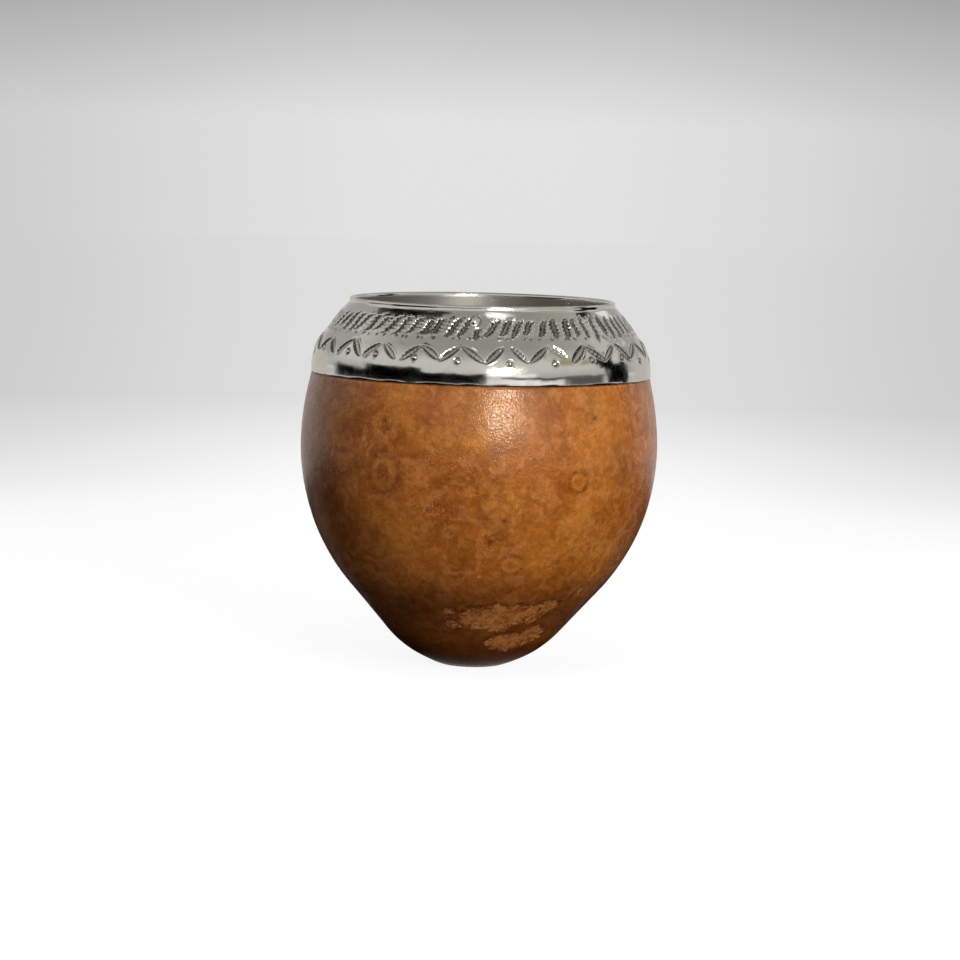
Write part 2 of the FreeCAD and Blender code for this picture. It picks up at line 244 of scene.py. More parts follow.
@dataclass
class Turning:
    """Mesh made of rings about the height axis, each with its own number of points."""

    rings: list[Array] = field(default_factory=list)
    fields: dict[str, list[Array]] = field(default_factory=dict)

    def ring(self, places: Array, **values: float | Array) -> None:
        """Add one ring.

        Args:
            places: Points of the ring in millimetres, one a row.
            values: Named values of the surface at those points.
        """
        self.rings.append(places)
        for name, value in values.items():
            self.fields.setdefault(name, []).append(np.broadcast_to(value, len(places)))

    @staticmethod
    def band(low: int, low_count: int, high: int, high_count: int) -> list[tuple[int, ...]]:
        """Faces between two rings.

        Args:
            low: Number of the first ring's first point.
            low_count: Points in the first ring.
            high: Number of the second ring's first point.
            high_count: Points in the second ring.

        Returns:
            Quads, or fans where one ring has several times the other's points.
        """
        faces: list[tuple[int, ...]] = []
        count = max(low_count, high_count)
        for place in range(count):
            after = (place + 1) % count
            a, b = low + place * low_count // count, low + after * low_count // count
            c, d = high + after * high_count // count, high + place * high_count // count
            faces.append(tuple(dict.fromkeys((a, b, c, d))))
        return faces

    def build(self, name: str, material: bpy.types.Material, closed: bool = False) -> Thing:
        """Make the mesh object.

        Args:
            name: Name of the piece.
            material: Its finish.
            closed: Whether the last ring joins the first.

        Returns:
            The new object, linked to the scene.
        """
        counts = [len(ring) for ring in self.rings]
        starts = [0, *np.cumsum(counts).tolist()]
        faces: list[tuple[int, ...]] = []
        for low in range(len(counts) if closed else len(counts) - 1):
            high = (low + 1) % len(counts)
            faces += self.band(starts[low], counts[low], starts[high], counts[high])
        mesh = bpy.data.meshes.new(name)
        mesh.from_pydata((np.concatenate(self.rings) * METRE).tolist(), [], faces)
        mesh.polygons.foreach_set("use_smooth", [True] * len(mesh.polygons))
        for key, parts in self.fields.items():
            layer = mesh.attributes.new(key, "FLOAT", "POINT")
            layer.data.foreach_set("value", np.concatenate(parts).astype(np.float32))
        mesh.update()
        mesh.materials.append(material)
        return add(name, mesh)


def ring_places(radius: float | Array, height: float | Array, turns: Array) -> Array:
    """Points at these radii, heights and turns from the front."""
    x, y = radius * np.sin(turns), -radius * np.cos(turns)
    return np.stack([x, y, np.broadcast_to(height, x.shape)], axis=1)


def full_circle(count: int) -> Array:
    """Even turns all the way round, in radians."""
    return np.arange(count) * (2 * math.pi / count)


def smooth_step(low: float, high: float, value: float | Array) -> Array:
    """Smooth rise from 0 at low to 1 at high."""
    share = np.clip((value - low) / (high - low), 0.0, 1.0)
    return share * share * (3.0 - 2.0 * share)


def bell(value: Array, middle: float | Array, width: float) -> Array:
    """Soft bump of height 1 about a middle."""
    return np.exp(-(((value - middle) / width) ** 2))


def wander(places: Array, size: float, octaves: int, seed: float) -> Array:
    """Cloudy noise about 0 at points in millimetres.

    Args:
        places: Points, one a row.
        size: Size of its largest clouds, in millimetres.
        octaves: Layers of finer clouds.
        seed: Offset that gives another noise.

    Returns:
        One value for each point, mostly between -1 and 1.
    """
    shift = Vector((seed, -seed, 2.0 * seed))
    return np.array(
        [noise.fractal(Vector(place) / size + shift, 1.0, 2.0, octaves) for place in places]
    )


# Finishes


class Cloud(NamedTuple):
    """Noise that changes smoothly from start, where it is low, to end, where it is high.

    The size of its largest clouds is in millimetres, detail and roughness give its finer ones,
    pull twists them, and shift in metres reads another part of it.
    """

    size: float
    low: float
    high: float
    start: float = 0.0
    end: float = 1.0
    detail: float = 3.0
    roughness: float = 0.5
    pull: float = 0.0
    shift: float = 0.0


class Graph:
    """Node tree of a material or of the world, built step by step."""

    def __init__(self, owner: bpy.types.Material | bpy.types.World) -> None:
        """Empty the owner's nodes.

        Args:
            owner: The material or world that the nodes belong to.
        """
        owner.use_nodes = True
        self.owner, self.tree = owner, owner.node_tree
        self.tree.nodes.clear()
        places = self.node("TexCoord").outputs
        self.place, self.direction = places["Object"], places["Generated"]

    def node(
        self, kind: str, feeds: dict[str | int, object] | None = None, **settings: object
    ) -> bpy.types.Node:
        """Add a node.

        Args:
            kind: Its type, without the common beginning.
            feeds: What goes into its sockets, by their names or numbers.
            settings: Its properties, which are set first.

        Returns:
            The node.
        """
        made = self.tree.nodes.new("ShaderNode" + kind)
        for name, value in settings.items():
            setattr(made, name, value)
        for key, value in (feeds or {}).items():
            socket = made.inputs[key]
            if isinstance(value, Socket):
                self.tree.links.new(value, socket)
            else:
                socket.default_value = (*value, 1.0) if socket.type == "RGBA" else value
        return made

    def noise(
        self, size: float, detail: float, roughness: float, pull: float = 0.0, shift: float = 0.0
    ) -> Socket:
        """Noise with clouds of this size.

        Args:
            size: Size of the largest clouds, in millimetres.
            detail: Layers of finer clouds.
            roughness: Weight of the finer clouds.
            pull: How far the clouds are twisted.
            shift: Metres that it is moved by, to read another part of it.

        Returns:
            Its value, about 0.5.
        """
        place = self.vector("ADD", self.place, (shift,) * 3) if shift else self.place
        feeds = {"Vector": place, "Scale": 1.0 / (size * METRE), "Detail": detail}
        return self.node("TexNoise", {**feeds, "Roughness": roughness, "Distortion": pull}).outputs[0]

    def cloud(self, cloud: Cloud) -> Socket:
        """Value of a cloud."""
        level = self.noise(cloud.size, cloud.detail, cloud.roughness, cloud.pull, cloud.shift)
        return self.between(level, cloud.low, cloud.high, cloud.start, cloud.end)

    def cells(self, size: float, warp_size: float, pull: float) -> Socket:
        """Distance from the middle of rounded cells.

        Args:
            size: Size of the cells, in millimetres.
            warp_size: Size of the clouds that pull them out of shape, in millimetres.
            pull: How far the clouds pull, in millimetres.

        Returns:
            The distance.
        """
        warp = self.node("TexNoise", {"Vector": self.place, "Scale": 1.0 / (warp_size * METRE)})
        centred = self.vector("SUBTRACT", warp.outputs["Color"], (0.5, 0.5, 0.5))
        scaled = self.node("VectorMath", {0: centred, "Scale": 2.0 * pull * METRE}, operation="SCALE")
        place = self.vector("ADD", self.place, scaled.outputs[0])
        feeds = {"Vector": place, "Scale": 1.0 / (size * METRE)}
        return self.node("TexVoronoi", feeds, feature="SMOOTH_F1").outputs["Distance"]

    def vector(self, operation: str, first: object, second: object) -> Socket:
        """One sum on two vectors."""
        return self.node("VectorMath", {0: first, 1: second}, operation=operation).outputs[0]

    def math(self, operation: str, first: object, second: object = 0.0) -> Socket:
        """One sum on one or two values."""
        return self.node("Math", {0: first, 1: second}, operation=operation).outputs[0]

    def times(self, product: object, *others: object) -> object:
        """Product of values.

        Args:
            product: The first value.
            others: Values that it is multiplied by.

        Returns:
            The product.
        """
        for other in others:
            product = self.math("MULTIPLY", product, other)
        return product

    def between(
        self, value: object, low: float, high: float, start: float = 0.0, end: float = 1.0,
        smooth: bool = True,
    ) -> Socket:
        """Change from one result to another as a value rises.

        Args:
            value: What is read.
            low: Level that gives the start.
            high: Level that gives the end.
            start: Result at the low level.
            end: Result at the high level.
            smooth: Whether the change is soft at both ends.

        Returns:
            The result.
        """
        feeds = {"Value": value, "From Min": low, "From Max": high, "To Min": start, "To Max": end}
        kind = "SMOOTHSTEP" if smooth else "LINEAR"
        return self.node("MapRange", feeds, interpolation_type=kind).outputs[0]

    def window(self, value: object, low: float, risen: float, falling: float, high: float) -> Socket:
        """1 between risen and falling, and 0 below low and above high."""
        return self.times(self.between(value, low, risen), self.between(value, high, falling))

    def ramp(self, value: object, *stops: tuple[float, float | Colour]) -> Socket:
        """Colour that runs through stops, placed from 0 to 1.

        Args:
            value: Place along the stops.
            stops: Each stop, as its place and its colour or grey.

        Returns:
            The colour.
        """
        made = self.node("ValToRGB", {0: value})
        elements = made.color_ramp.elements
        while len(elements) < len(stops):
            elements.new(0.5)
        for element, (place, colour) in zip(elements, stops):
            element.position = place
            element.color = (*((colour,) * 3 if isinstance(colour, float) else colour), 1.0)
        return made.outputs[0]

    def mix(self, colour: object, paint: object, *shares: object, blend: str = "MIX") -> Socket:
        """Lay a paint over a colour, by the product of these shares."""
        feeds = {0: self.times(*shares), 6: colour, 7: paint}
        return self.node("Mix", feeds, data_type="RGBA", blend_type=blend).outputs[2]

    def shaded(self, colour: Socket, shade: Socket) -> Socket:
        """Colour times a grey of this value."""
        grey = self.node("CombineColor", dict.fromkeys(range(3), shade)).outputs[0]
        return self.mix(colour, grey, 1.0, blend="MULTIPLY")

    def axis(self, name: str, place: Socket | None = None) -> Socket:
        """One axis of the place on the object, or of another vector."""
        return self.node("SeparateXYZ", {0: place or self.place}).outputs[name]

    def surface(self, name: str) -> Socket:
        """Named value that the mesh carries."""
        return self.node("Attribute", attribute_name=name).outputs["Fac"]

    def bump(
        self, height: Socket, depth: float, strength: float, under: Socket | None = None
    ) -> Socket:
        """Fine relief.

        Args:
            height: Its height, from 0 to 1.
            depth: Full height in millimetres.
            strength: Share of it that shows.
            under: Coarser relief below it.

        Returns:
            The normal.
        """
        feeds = {"Height": height, "Distance": depth * METRE, "Strength": strength}
        return self.node("Bump", feeds if under is None else {**feeds, "Normal": under}).outputs[0]

    def finish(self, shader: bpy.types.Node) -> bpy.types.Material | bpy.types.World:
        """Put a shader on the output.

        Args:
            shader: The finished shader.

        Returns:
            The material or world that it dresses.
        """
        kind = "World" if isinstance(self.owner, bpy.types.World) else "Material"
        self.node("Output" + kind, {"Surface": shader.outputs[0]})
        return self.owner


@dataclass(frozen=True)
class GourdSkin:
    """Varnished gourd: mottled skin with stains and a scar outside, raw fibre inside; painted shade darkens
    it low down and on the left, and some gold patches are painted sheen.
    """

    deep: Colour = (0.225, 0.053, 0.0040)
    warm: Colour = (0.345, 0.096, 0.0095)
    gold: Colour = (0.490, 0.174, 0.0220)
    tan: Colour = (0.510, 0.198, 0.0560)
    rust: Colour = (0.215, 0.050, 0.0036)
    stain: Colour = (0.062, 0.014, 0.0012)
    pit: Colour = (0.122, 0.025, 0.0016)
    scar: Colour = (0.470, 0.178, 0.0500)
    fleck: Colour = (0.640, 0.390, 0.1700)
    fibre: Colour = (0.050, 0.030, 0.0180)
    gloss: float = 0.44
    specular: float = 0.34
    shine: Colour = (1.0, 0.88, 0.60)
    varnish: float = 0.60
    varnish_roughness: float = 0.18
    worn_heights: Point = (0.002, 0.020)
    worn_share: float = 0.15
    grain: Cloud = Cloud(1.2, 0.36, 0.66, 0.86, 1.11, 3.0, 0.60, 0.3)
    rusty: Cloud = Cloud(7.0, 0.48, 0.56, 0.0, 0.46, 2.6, 0.52, 1.8)
    tanned: Cloud = Cloud(5.2, 0.49, 0.60, 0.0, 0.38, 2.4, 0.50, 1.5, 0.31)
    ringed: Cloud = Cloud(11.0, 0.48, 0.62, 0.0, 0.30, 2.0, shift=0.77)
    pale_veined: Cloud = Cloud(9.0, 0.46, 0.60, 0.0, 0.38, 2.0, shift=0.61)
    dark_veined: Cloud = Cloud(8.0, 0.48, 0.62, 0.0, 0.34, 2.0, shift=0.05)
    clumps: Cloud = Cloud(8.0, 0.54, 0.68, 0.0, 0.55, 3.0, 0.55, 0.6)
    pores: Cloud = Cloud(0.62, 0.58, 0.66, detail=2.0)
    flecks: Cloud = Cloud(0.44, 0.62, 0.70, detail=1.0, shift=0.53)
    strewn: Cloud = Cloud(10.0, 0.54, 0.66, 0.0, 0.35, pull=0.4, shift=0.19)
    blotched: Cloud = Cloud(2.4, 0.38, 0.60, 0.10, 0.80, 4.0, 0.65, 1.2, 0.11)
    torn: Cloud = Cloud(1.3, 0.46, 0.60, 0.25, 1.0, 3.0, 0.6, 0.8, 0.29)
    crusted: Cloud = Cloud(1.5, 0.53, 0.58, 0.0, 0.85, 3.0, 0.6, 1.0, 0.67)
    crumbly: Cloud = Cloud(0.8, 0.38, 0.58, 0.25, 1.0, 3.0, 0.6, 0.8, 0.87)

    def mottled(self, graph: Graph) -> Socket:
        """Colour of the clean skin: soft clouds of brown, gold and tan with thin veins, and gold patches
        that are partly painted sheen.

        Args:
            graph: Graph of the material.

        Returns:
            The colour.
        """
        stops = ((0.28, self.deep), (0.44, self.warm), (0.58, self.warm), (0.72, self.gold))
        colour = graph.ramp(graph.noise(15.0, 2.5, 0.50, 0.8), *stops)
        colour = graph.mix(colour, self.rust, graph.cloud(self.rusty))
        colour = graph.mix(colour, self.tan, graph.cloud(self.tanned))
        # Gold patches: partly real colour, partly painted light and a painted highlight below the collar.
        colour = graph.mix(colour, self.gold, graph.surface("golden_and_painted_sheen"))
        ring = graph.window(graph.cells(6.5, 3.0, 1.6), 0.30, 0.40, 0.44, 0.56)
        colour = graph.mix(colour, self.stain, ring, graph.cloud(self.ringed))
        vein = graph.window(graph.noise(3.4, 2.2, 0.45, 1.6, 0.43), 0.465, 0.495, 0.505, 0.535)
        colour = graph.mix(colour, self.tan, vein, graph.cloud(self.pale_veined))
        vein = graph.window(graph.noise(4.6, 3.0, 0.55, 1.2, 0.93), 0.470, 0.495, 0.500, 0.520)
        return graph.mix(colour, self.rust, vein, graph.cloud(self.dark_veined))

    def scarred(self, graph: Graph, colour: Socket, flecks: Socket) -> tuple[Socket, Socket]:
        """Lay the flaked scar over the skin.

        Args:
            graph: Graph of the material.
            colour: Colour of the skin.
            flecks: Where the bright flecks are.

        Returns:
            The new colour, and where the skin has flaked off.
        """
        cloud = graph.math("SUBTRACT", graph.noise(2.2, 6.0, 0.74, 1.0), 0.5)
        ragged = graph.math("ADD", graph.surface("scar"), graph.times(cloud, 1.9))
        flaked = graph.between(ragged, 0.48, 0.58)
        colour = graph.mix(colour, self.scar, flaked, graph.cloud(self.blotched))
        border = graph.window(ragged, 0.26, 0.45, 0.50, 0.64)
        colour = graph.mix(colour, self.stain, border, graph.cloud(self.torn))
        lifted = graph.window(ragged, 0.52, 0.60, 0.64, 0.76)
        colour = graph.mix(colour, self.fleck, lifted, flecks, 0.6)
        near = graph.window(ragged, 0.50, 0.58, 0.72, 1.05)
        return graph.mix(colour, self.pit, near, graph.cloud(self.crusted)), flaked

    def build(self) -> bpy.types.Material:
        """Build the node material.

        Returns:
            The material of the gourd.
        """
        graph = Graph(bpy.data.materials.new("gourd_skin"))
        colour = graph.shaded(self.mottled(graph), graph.cloud(self.grain))
        specks = graph.surface("specks")
        clumps = graph.math("MAXIMUM", graph.cloud(self.clumps), specks)
        dots = graph.times(graph.cloud(self.pores), clumps)
        colour = graph.mix(colour, self.pit, dots, 0.80)
        flecks = graph.cloud(self.flecks)
        here = graph.math("MAXIMUM", graph.cloud(self.strewn), graph.times(specks, 0.65))
        colour = graph.mix(colour, self.fleck, flecks, here)
        colour = graph.mix(colour, self.fleck, graph.surface("pale"))
        # Painted shade, partly a real darker base: the skin is darkened low down and on the left.
        colour = graph.mix(colour, self.stain, graph.surface("umber_and_painted_shade"))
        colour, flaked = self.scarred(graph, colour, flecks)
        colour = graph.mix(colour, self.pit, graph.surface("stain"), graph.cloud(self.crumbly), 1.25)
        inside = graph.surface("inside")
        colour = graph.mix(colour, self.fibre, inside)

        peel = graph.noise(0.50, 2.0, 0.60)
        normal = graph.bump(graph.noise(4.0, 3.0, 0.50), 0.12, 0.7)
        normal = graph.bump(peel, 0.110, 0.60, normal)
        normal = graph.bump(graph.math("SUBTRACT", 1.0, flaked), 0.14, 0.7, normal)
        normal = graph.bump(graph.math("SUBTRACT", 1.0, dots), 0.10, 0.6, normal)
        roughness = graph.math("ADD", graph.between(peel, 0.3, 0.7, -0.05, 0.07), self.gloss)
        roughness = graph.math("ADD", roughness, graph.times(flaked, 0.12))
        worn = graph.between(graph.axis("Z"), *self.worn_heights, self.worn_share)
        feeds = {
            "Base Color": colour,
            "Roughness": graph.math("ADD", roughness, graph.times(inside, 0.4)),
            "Specular IOR Level": graph.times(worn, self.specular),
            "Specular Tint": self.shine,
            "Coat Weight": graph.times(worn, self.varnish),
            "Coat Roughness": self.varnish_roughness,
            "Normal": normal,
            "Coat Normal": normal,
        }
        return graph.finish(graph.node("BsdfPrincipled", feeds))


@dataclass(frozen=True)
class CollarMetal:
    """Polished white metal, dull and dark in the bottom of the punched marks, with painted shade along one
    side of their edges, round the boss's right side and inside the mouth.
    """

    bright: Colour = (0.74, 0.73, 0.68)
    # Colour of the metal inside the mouth, darkened as painted shade.
    worn: Colour = (0.60, 0.58, 0.52)
    # Colour of the dark fill: real tarnish in the hollows of the marks, and painted shade along their
    # edges.
    sleeve: Colour = (0.27, 0.27, 0.26)
    soot: Colour = (0.022, 0.020, 0.016)
    polish: float = 0.085
    grit: Cloud = Cloud(0.45, 0.34, 0.60, 0.66, 1.0, 3.0, 0.6)
    wear: Cloud = Cloud(6.0, 0.3, 0.7, detail=4.0, roughness=0.6, pull=0.5)

    def build(self) -> bpy.types.Material:
        """Build the node material.

        Returns:
            The material of the collar.
        """
        graph = Graph(bpy.data.materials.new("collar_metal"))
        # Dark fill of the marks: tarnish in the hollows together with painted shade on their edges.
        soot = graph.times(graph.surface("soot"), graph.cloud(self.grit))
        wear, inside = graph.cloud(self.wear), graph.surface("inside")
        colour = graph.mix(self.bright, self.worn, wear, 0.35)
        # Painted shade: the metal inside the mouth is darkened.
        colour = graph.mix(colour, self.sleeve, inside, 0.80)
        rough = graph.math("ADD", graph.times(wear, 0.06), self.polish)
        rough = graph.math("ADD", rough, graph.times(inside, 0.34))
        feeds = {
            "Base Color": graph.mix(colour, self.soot, soot),
            "Metallic": 1.0,
            "Roughness": graph.math("ADD", rough, graph.times(soot, 0.30)),
            "Normal": graph.bump(graph.noise(2.2, 3.0, 0.55, 0.3), 0.016, 0.5),
        }
        return graph.finish(graph.node("BsdfPrincipled", feeds))


# Gourd


class MarkKind(Enum):
    """Kinds of mark on the gourd's skin: natural rings, spots, pits, specks, flecks and scars, dark washes
    that are partly painted shade, and sheens that are partly painted highlight.
    """

    RING = "ring"
    SPOT = "spot"
    PIT = "pit"
    STAIN_AND_SHADE_WASH = "wash"
    SHEEN = "sheen"
    SPECKS = "specks"
    PALE = "pale"
    SCAR = "scar"


TONES = ("stain", "golden_and_painted_sheen", "umber_and_painted_shade", "scar", "specks", "pale")
SOFT_TONES = {
    MarkKind.SPOT: "stain",
    MarkKind.STAIN_AND_SHADE_WASH: "umber_and_painted_shade",
    MarkKind.SHEEN: "golden_and_painted_sheen",
    MarkKind.SPECKS: "specks",
}


@dataclass(frozen=True)
class SkinMark:
    """One mark, by its turn from the front in degrees, and sizes in millimetres."""

    kind: MarkKind
    turn: float
    height: float
    radius: float
    strength: float = 0.5
    tall: float = 1.0

    def spread(self, places: Array, radius_there: float) -> Array:
        """Distance of points from the mark's middle, as a share of its radius.

        Args:
            places: Points in millimetres, one a row.
            radius_there: Radius of the gourd at the mark's height.

        Returns:
            One share for each point, 1 on the mark's edge.
        """
        turns = np.radians([self.turn])
        away = places - ring_places(radius_there, self.height, turns)
        away[:, 2] /= self.tall
        return np.linalg.norm(away, axis=1) / self.radius


# Turn, height, radius, strength and how tall, of each mark that the photograph shows
SKIN_MARKS: dict[MarkKind, tuple[tuple[float, ...], ...]] = {
    MarkKind.RING: (
        (-30.7, 50.6, 3.7, 0.62, 1.18), (32.8, 49.5, 2.3, 0.85), (12.6, 29.1, 2.6, 0.62),
        (-14.6, 31.0, 3.0, 0.42), (-31.2, 62.0, 3.8, 0.26), (-47.0, 66.0, 4.0, 0.30, 1.2),
        (0.7, 45.4, 4.2, 0.22, 1.3), (20.0, 38.0, 3.0, 0.18),
    ),
    MarkKind.SPOT: (
        (-31.5, 50.2, 1.5, 0.55, 1.5), (12.6, 29.1, 0.9, 0.50), (-14.6, 31.0, 2.0, 0.20),
    ),
    MarkKind.PIT: (
        (-31.2, 62.8, 0.75, 0.80, 0.7), (-29.6, 61.3, 0.55, 0.80), (39.0, 64.4, 0.70, 0.90),
        (36.5, 65.2, 0.50, 0.60), (4.4, 35.0, 1.10, 0.85, 0.7), (3.0, 36.2, 0.50, 0.70),
        (8.9, 40.2, 0.65, 0.90), (10.4, 41.6, 0.40, 0.60), (-15.8, 42.3, 0.80, 0.70),
        (-12.8, 43.9, 0.60, 0.60), (-18.5, 43.2, 0.45, 0.60), (-16.0, 40.3, 0.50, 0.50),
        (35.9, 35.0, 0.50, 0.80), (37.5, 36.6, 0.40, 0.60), (-44.2, 67.8, 0.60, 0.70),
        (3.6, 18.6, 0.70, 0.80, 0.6), (7.7, 18.9, 0.60, 0.75, 0.6), (13.1, 18.6, 0.65, 0.70, 0.5),
        (21.4, 18.7, 0.75, 0.85, 0.8), (25.6, 17.7, 0.60, 0.80), (8.3, 15.5, 0.45, 0.60),
        (32.2, 14.3, 0.60, 0.70, 0.6), (11.3, 10.8, 0.65, 0.80, 0.6), (17.1, 11.7, 0.70, 0.75, 0.5),
        (24.6, 11.9, 0.60, 0.70, 0.5), (-2.3, 12.5, 0.60, 0.75, 0.7), (2.6, 10.8, 0.60, 0.70, 0.6),
    ),
    # Dark washes: partly real stains, partly painted shade on the left side and low down.
    MarkKind.STAIN_AND_SHADE_WASH: (
        (-57.0, 44.0, 9.5, 0.45, 2.2), (-38.0, 30.0, 9.0, 0.22, 1.6), (-34.0, 18.0, 9.0, 0.35),
        (49.8, 52.9, 6.0, 0.22, 1.5), (-13.0, 62.0, 6.5, 0.16),
    ),
    # Sheens: partly real gold patches, partly painted light on brighter zones and a painted highlight below
    # the collar.
    MarkKind.SHEEN: (
        (42.0, 61.0, 8.5, 0.65, 1.4), (35.7, 41.0, 5.0, 0.60, 1.4), (-26.5, 69.1, 4.5, 0.50),
        (6.0, 66.0, 8.0, 0.45), (-13.0, 32.0, 6.0, 0.40, 0.8), (20.0, 36.0, 9.0, 0.35, 0.9),
        (0.0, 34.0, 7.0, 0.25, 0.8), (-26.0, 35.0, 8.5, 0.55, 1.1), (24.0, 30.5, 8.0, 0.45, 0.9),
        (47.0, 33.0, 7.0, 0.40),
    ),
    MarkKind.SPECKS: (
        (-15.8, 42.3, 5.0, 0.9, 0.8), (-13.0, 55.0, 3.6, 0.8), (-7.0, 52.5, 3.0, 0.7),
        (-31.0, 62.5, 3.2, 0.8), (39.0, 64.0, 3.6, 0.7), (4.4, 35.0, 2.6, 0.8),
        (-5.0, 69.0, 3.0, 0.6), (34.0, 34.0, 3.2, 0.6),
    ),
    MarkKind.PALE: (
        (-38.8, 58.5, 0.50, 0.8), (-37.4, 57.0, 0.40, 0.6), (-53.0, 53.8, 0.60, 0.7),
        (-58.0, 45.5, 0.60, 0.5), (1.1, 26.3, 0.40, 0.8),
    ),
    MarkKind.SCAR: (
        (2.0, 14.8, 4.6, 1.0, 0.85), (11.0, 14.8, 5.8, 1.0, 0.80), (21.0, 15.8, 4.8, 1.0, 0.75),
        (30.0, 15.8, 3.8, 1.0, 0.75), (37.0, 17.6, 3.2, 1.0, 0.75), (17.0, 8.2, 3.2, 1.0, 0.8),
        (26.5, 8.2, 4.6, 1.0, 0.75), (37.5, 9.8, 4.2, 1.0, 0.75), (-12.3, 16.4, 1.9, 0.8, 0.8),
        (-11.2, 12.9, 2.3, 0.8, 0.7), (51.0, 21.2, 1.8, 0.8, 0.8),
    ),
}


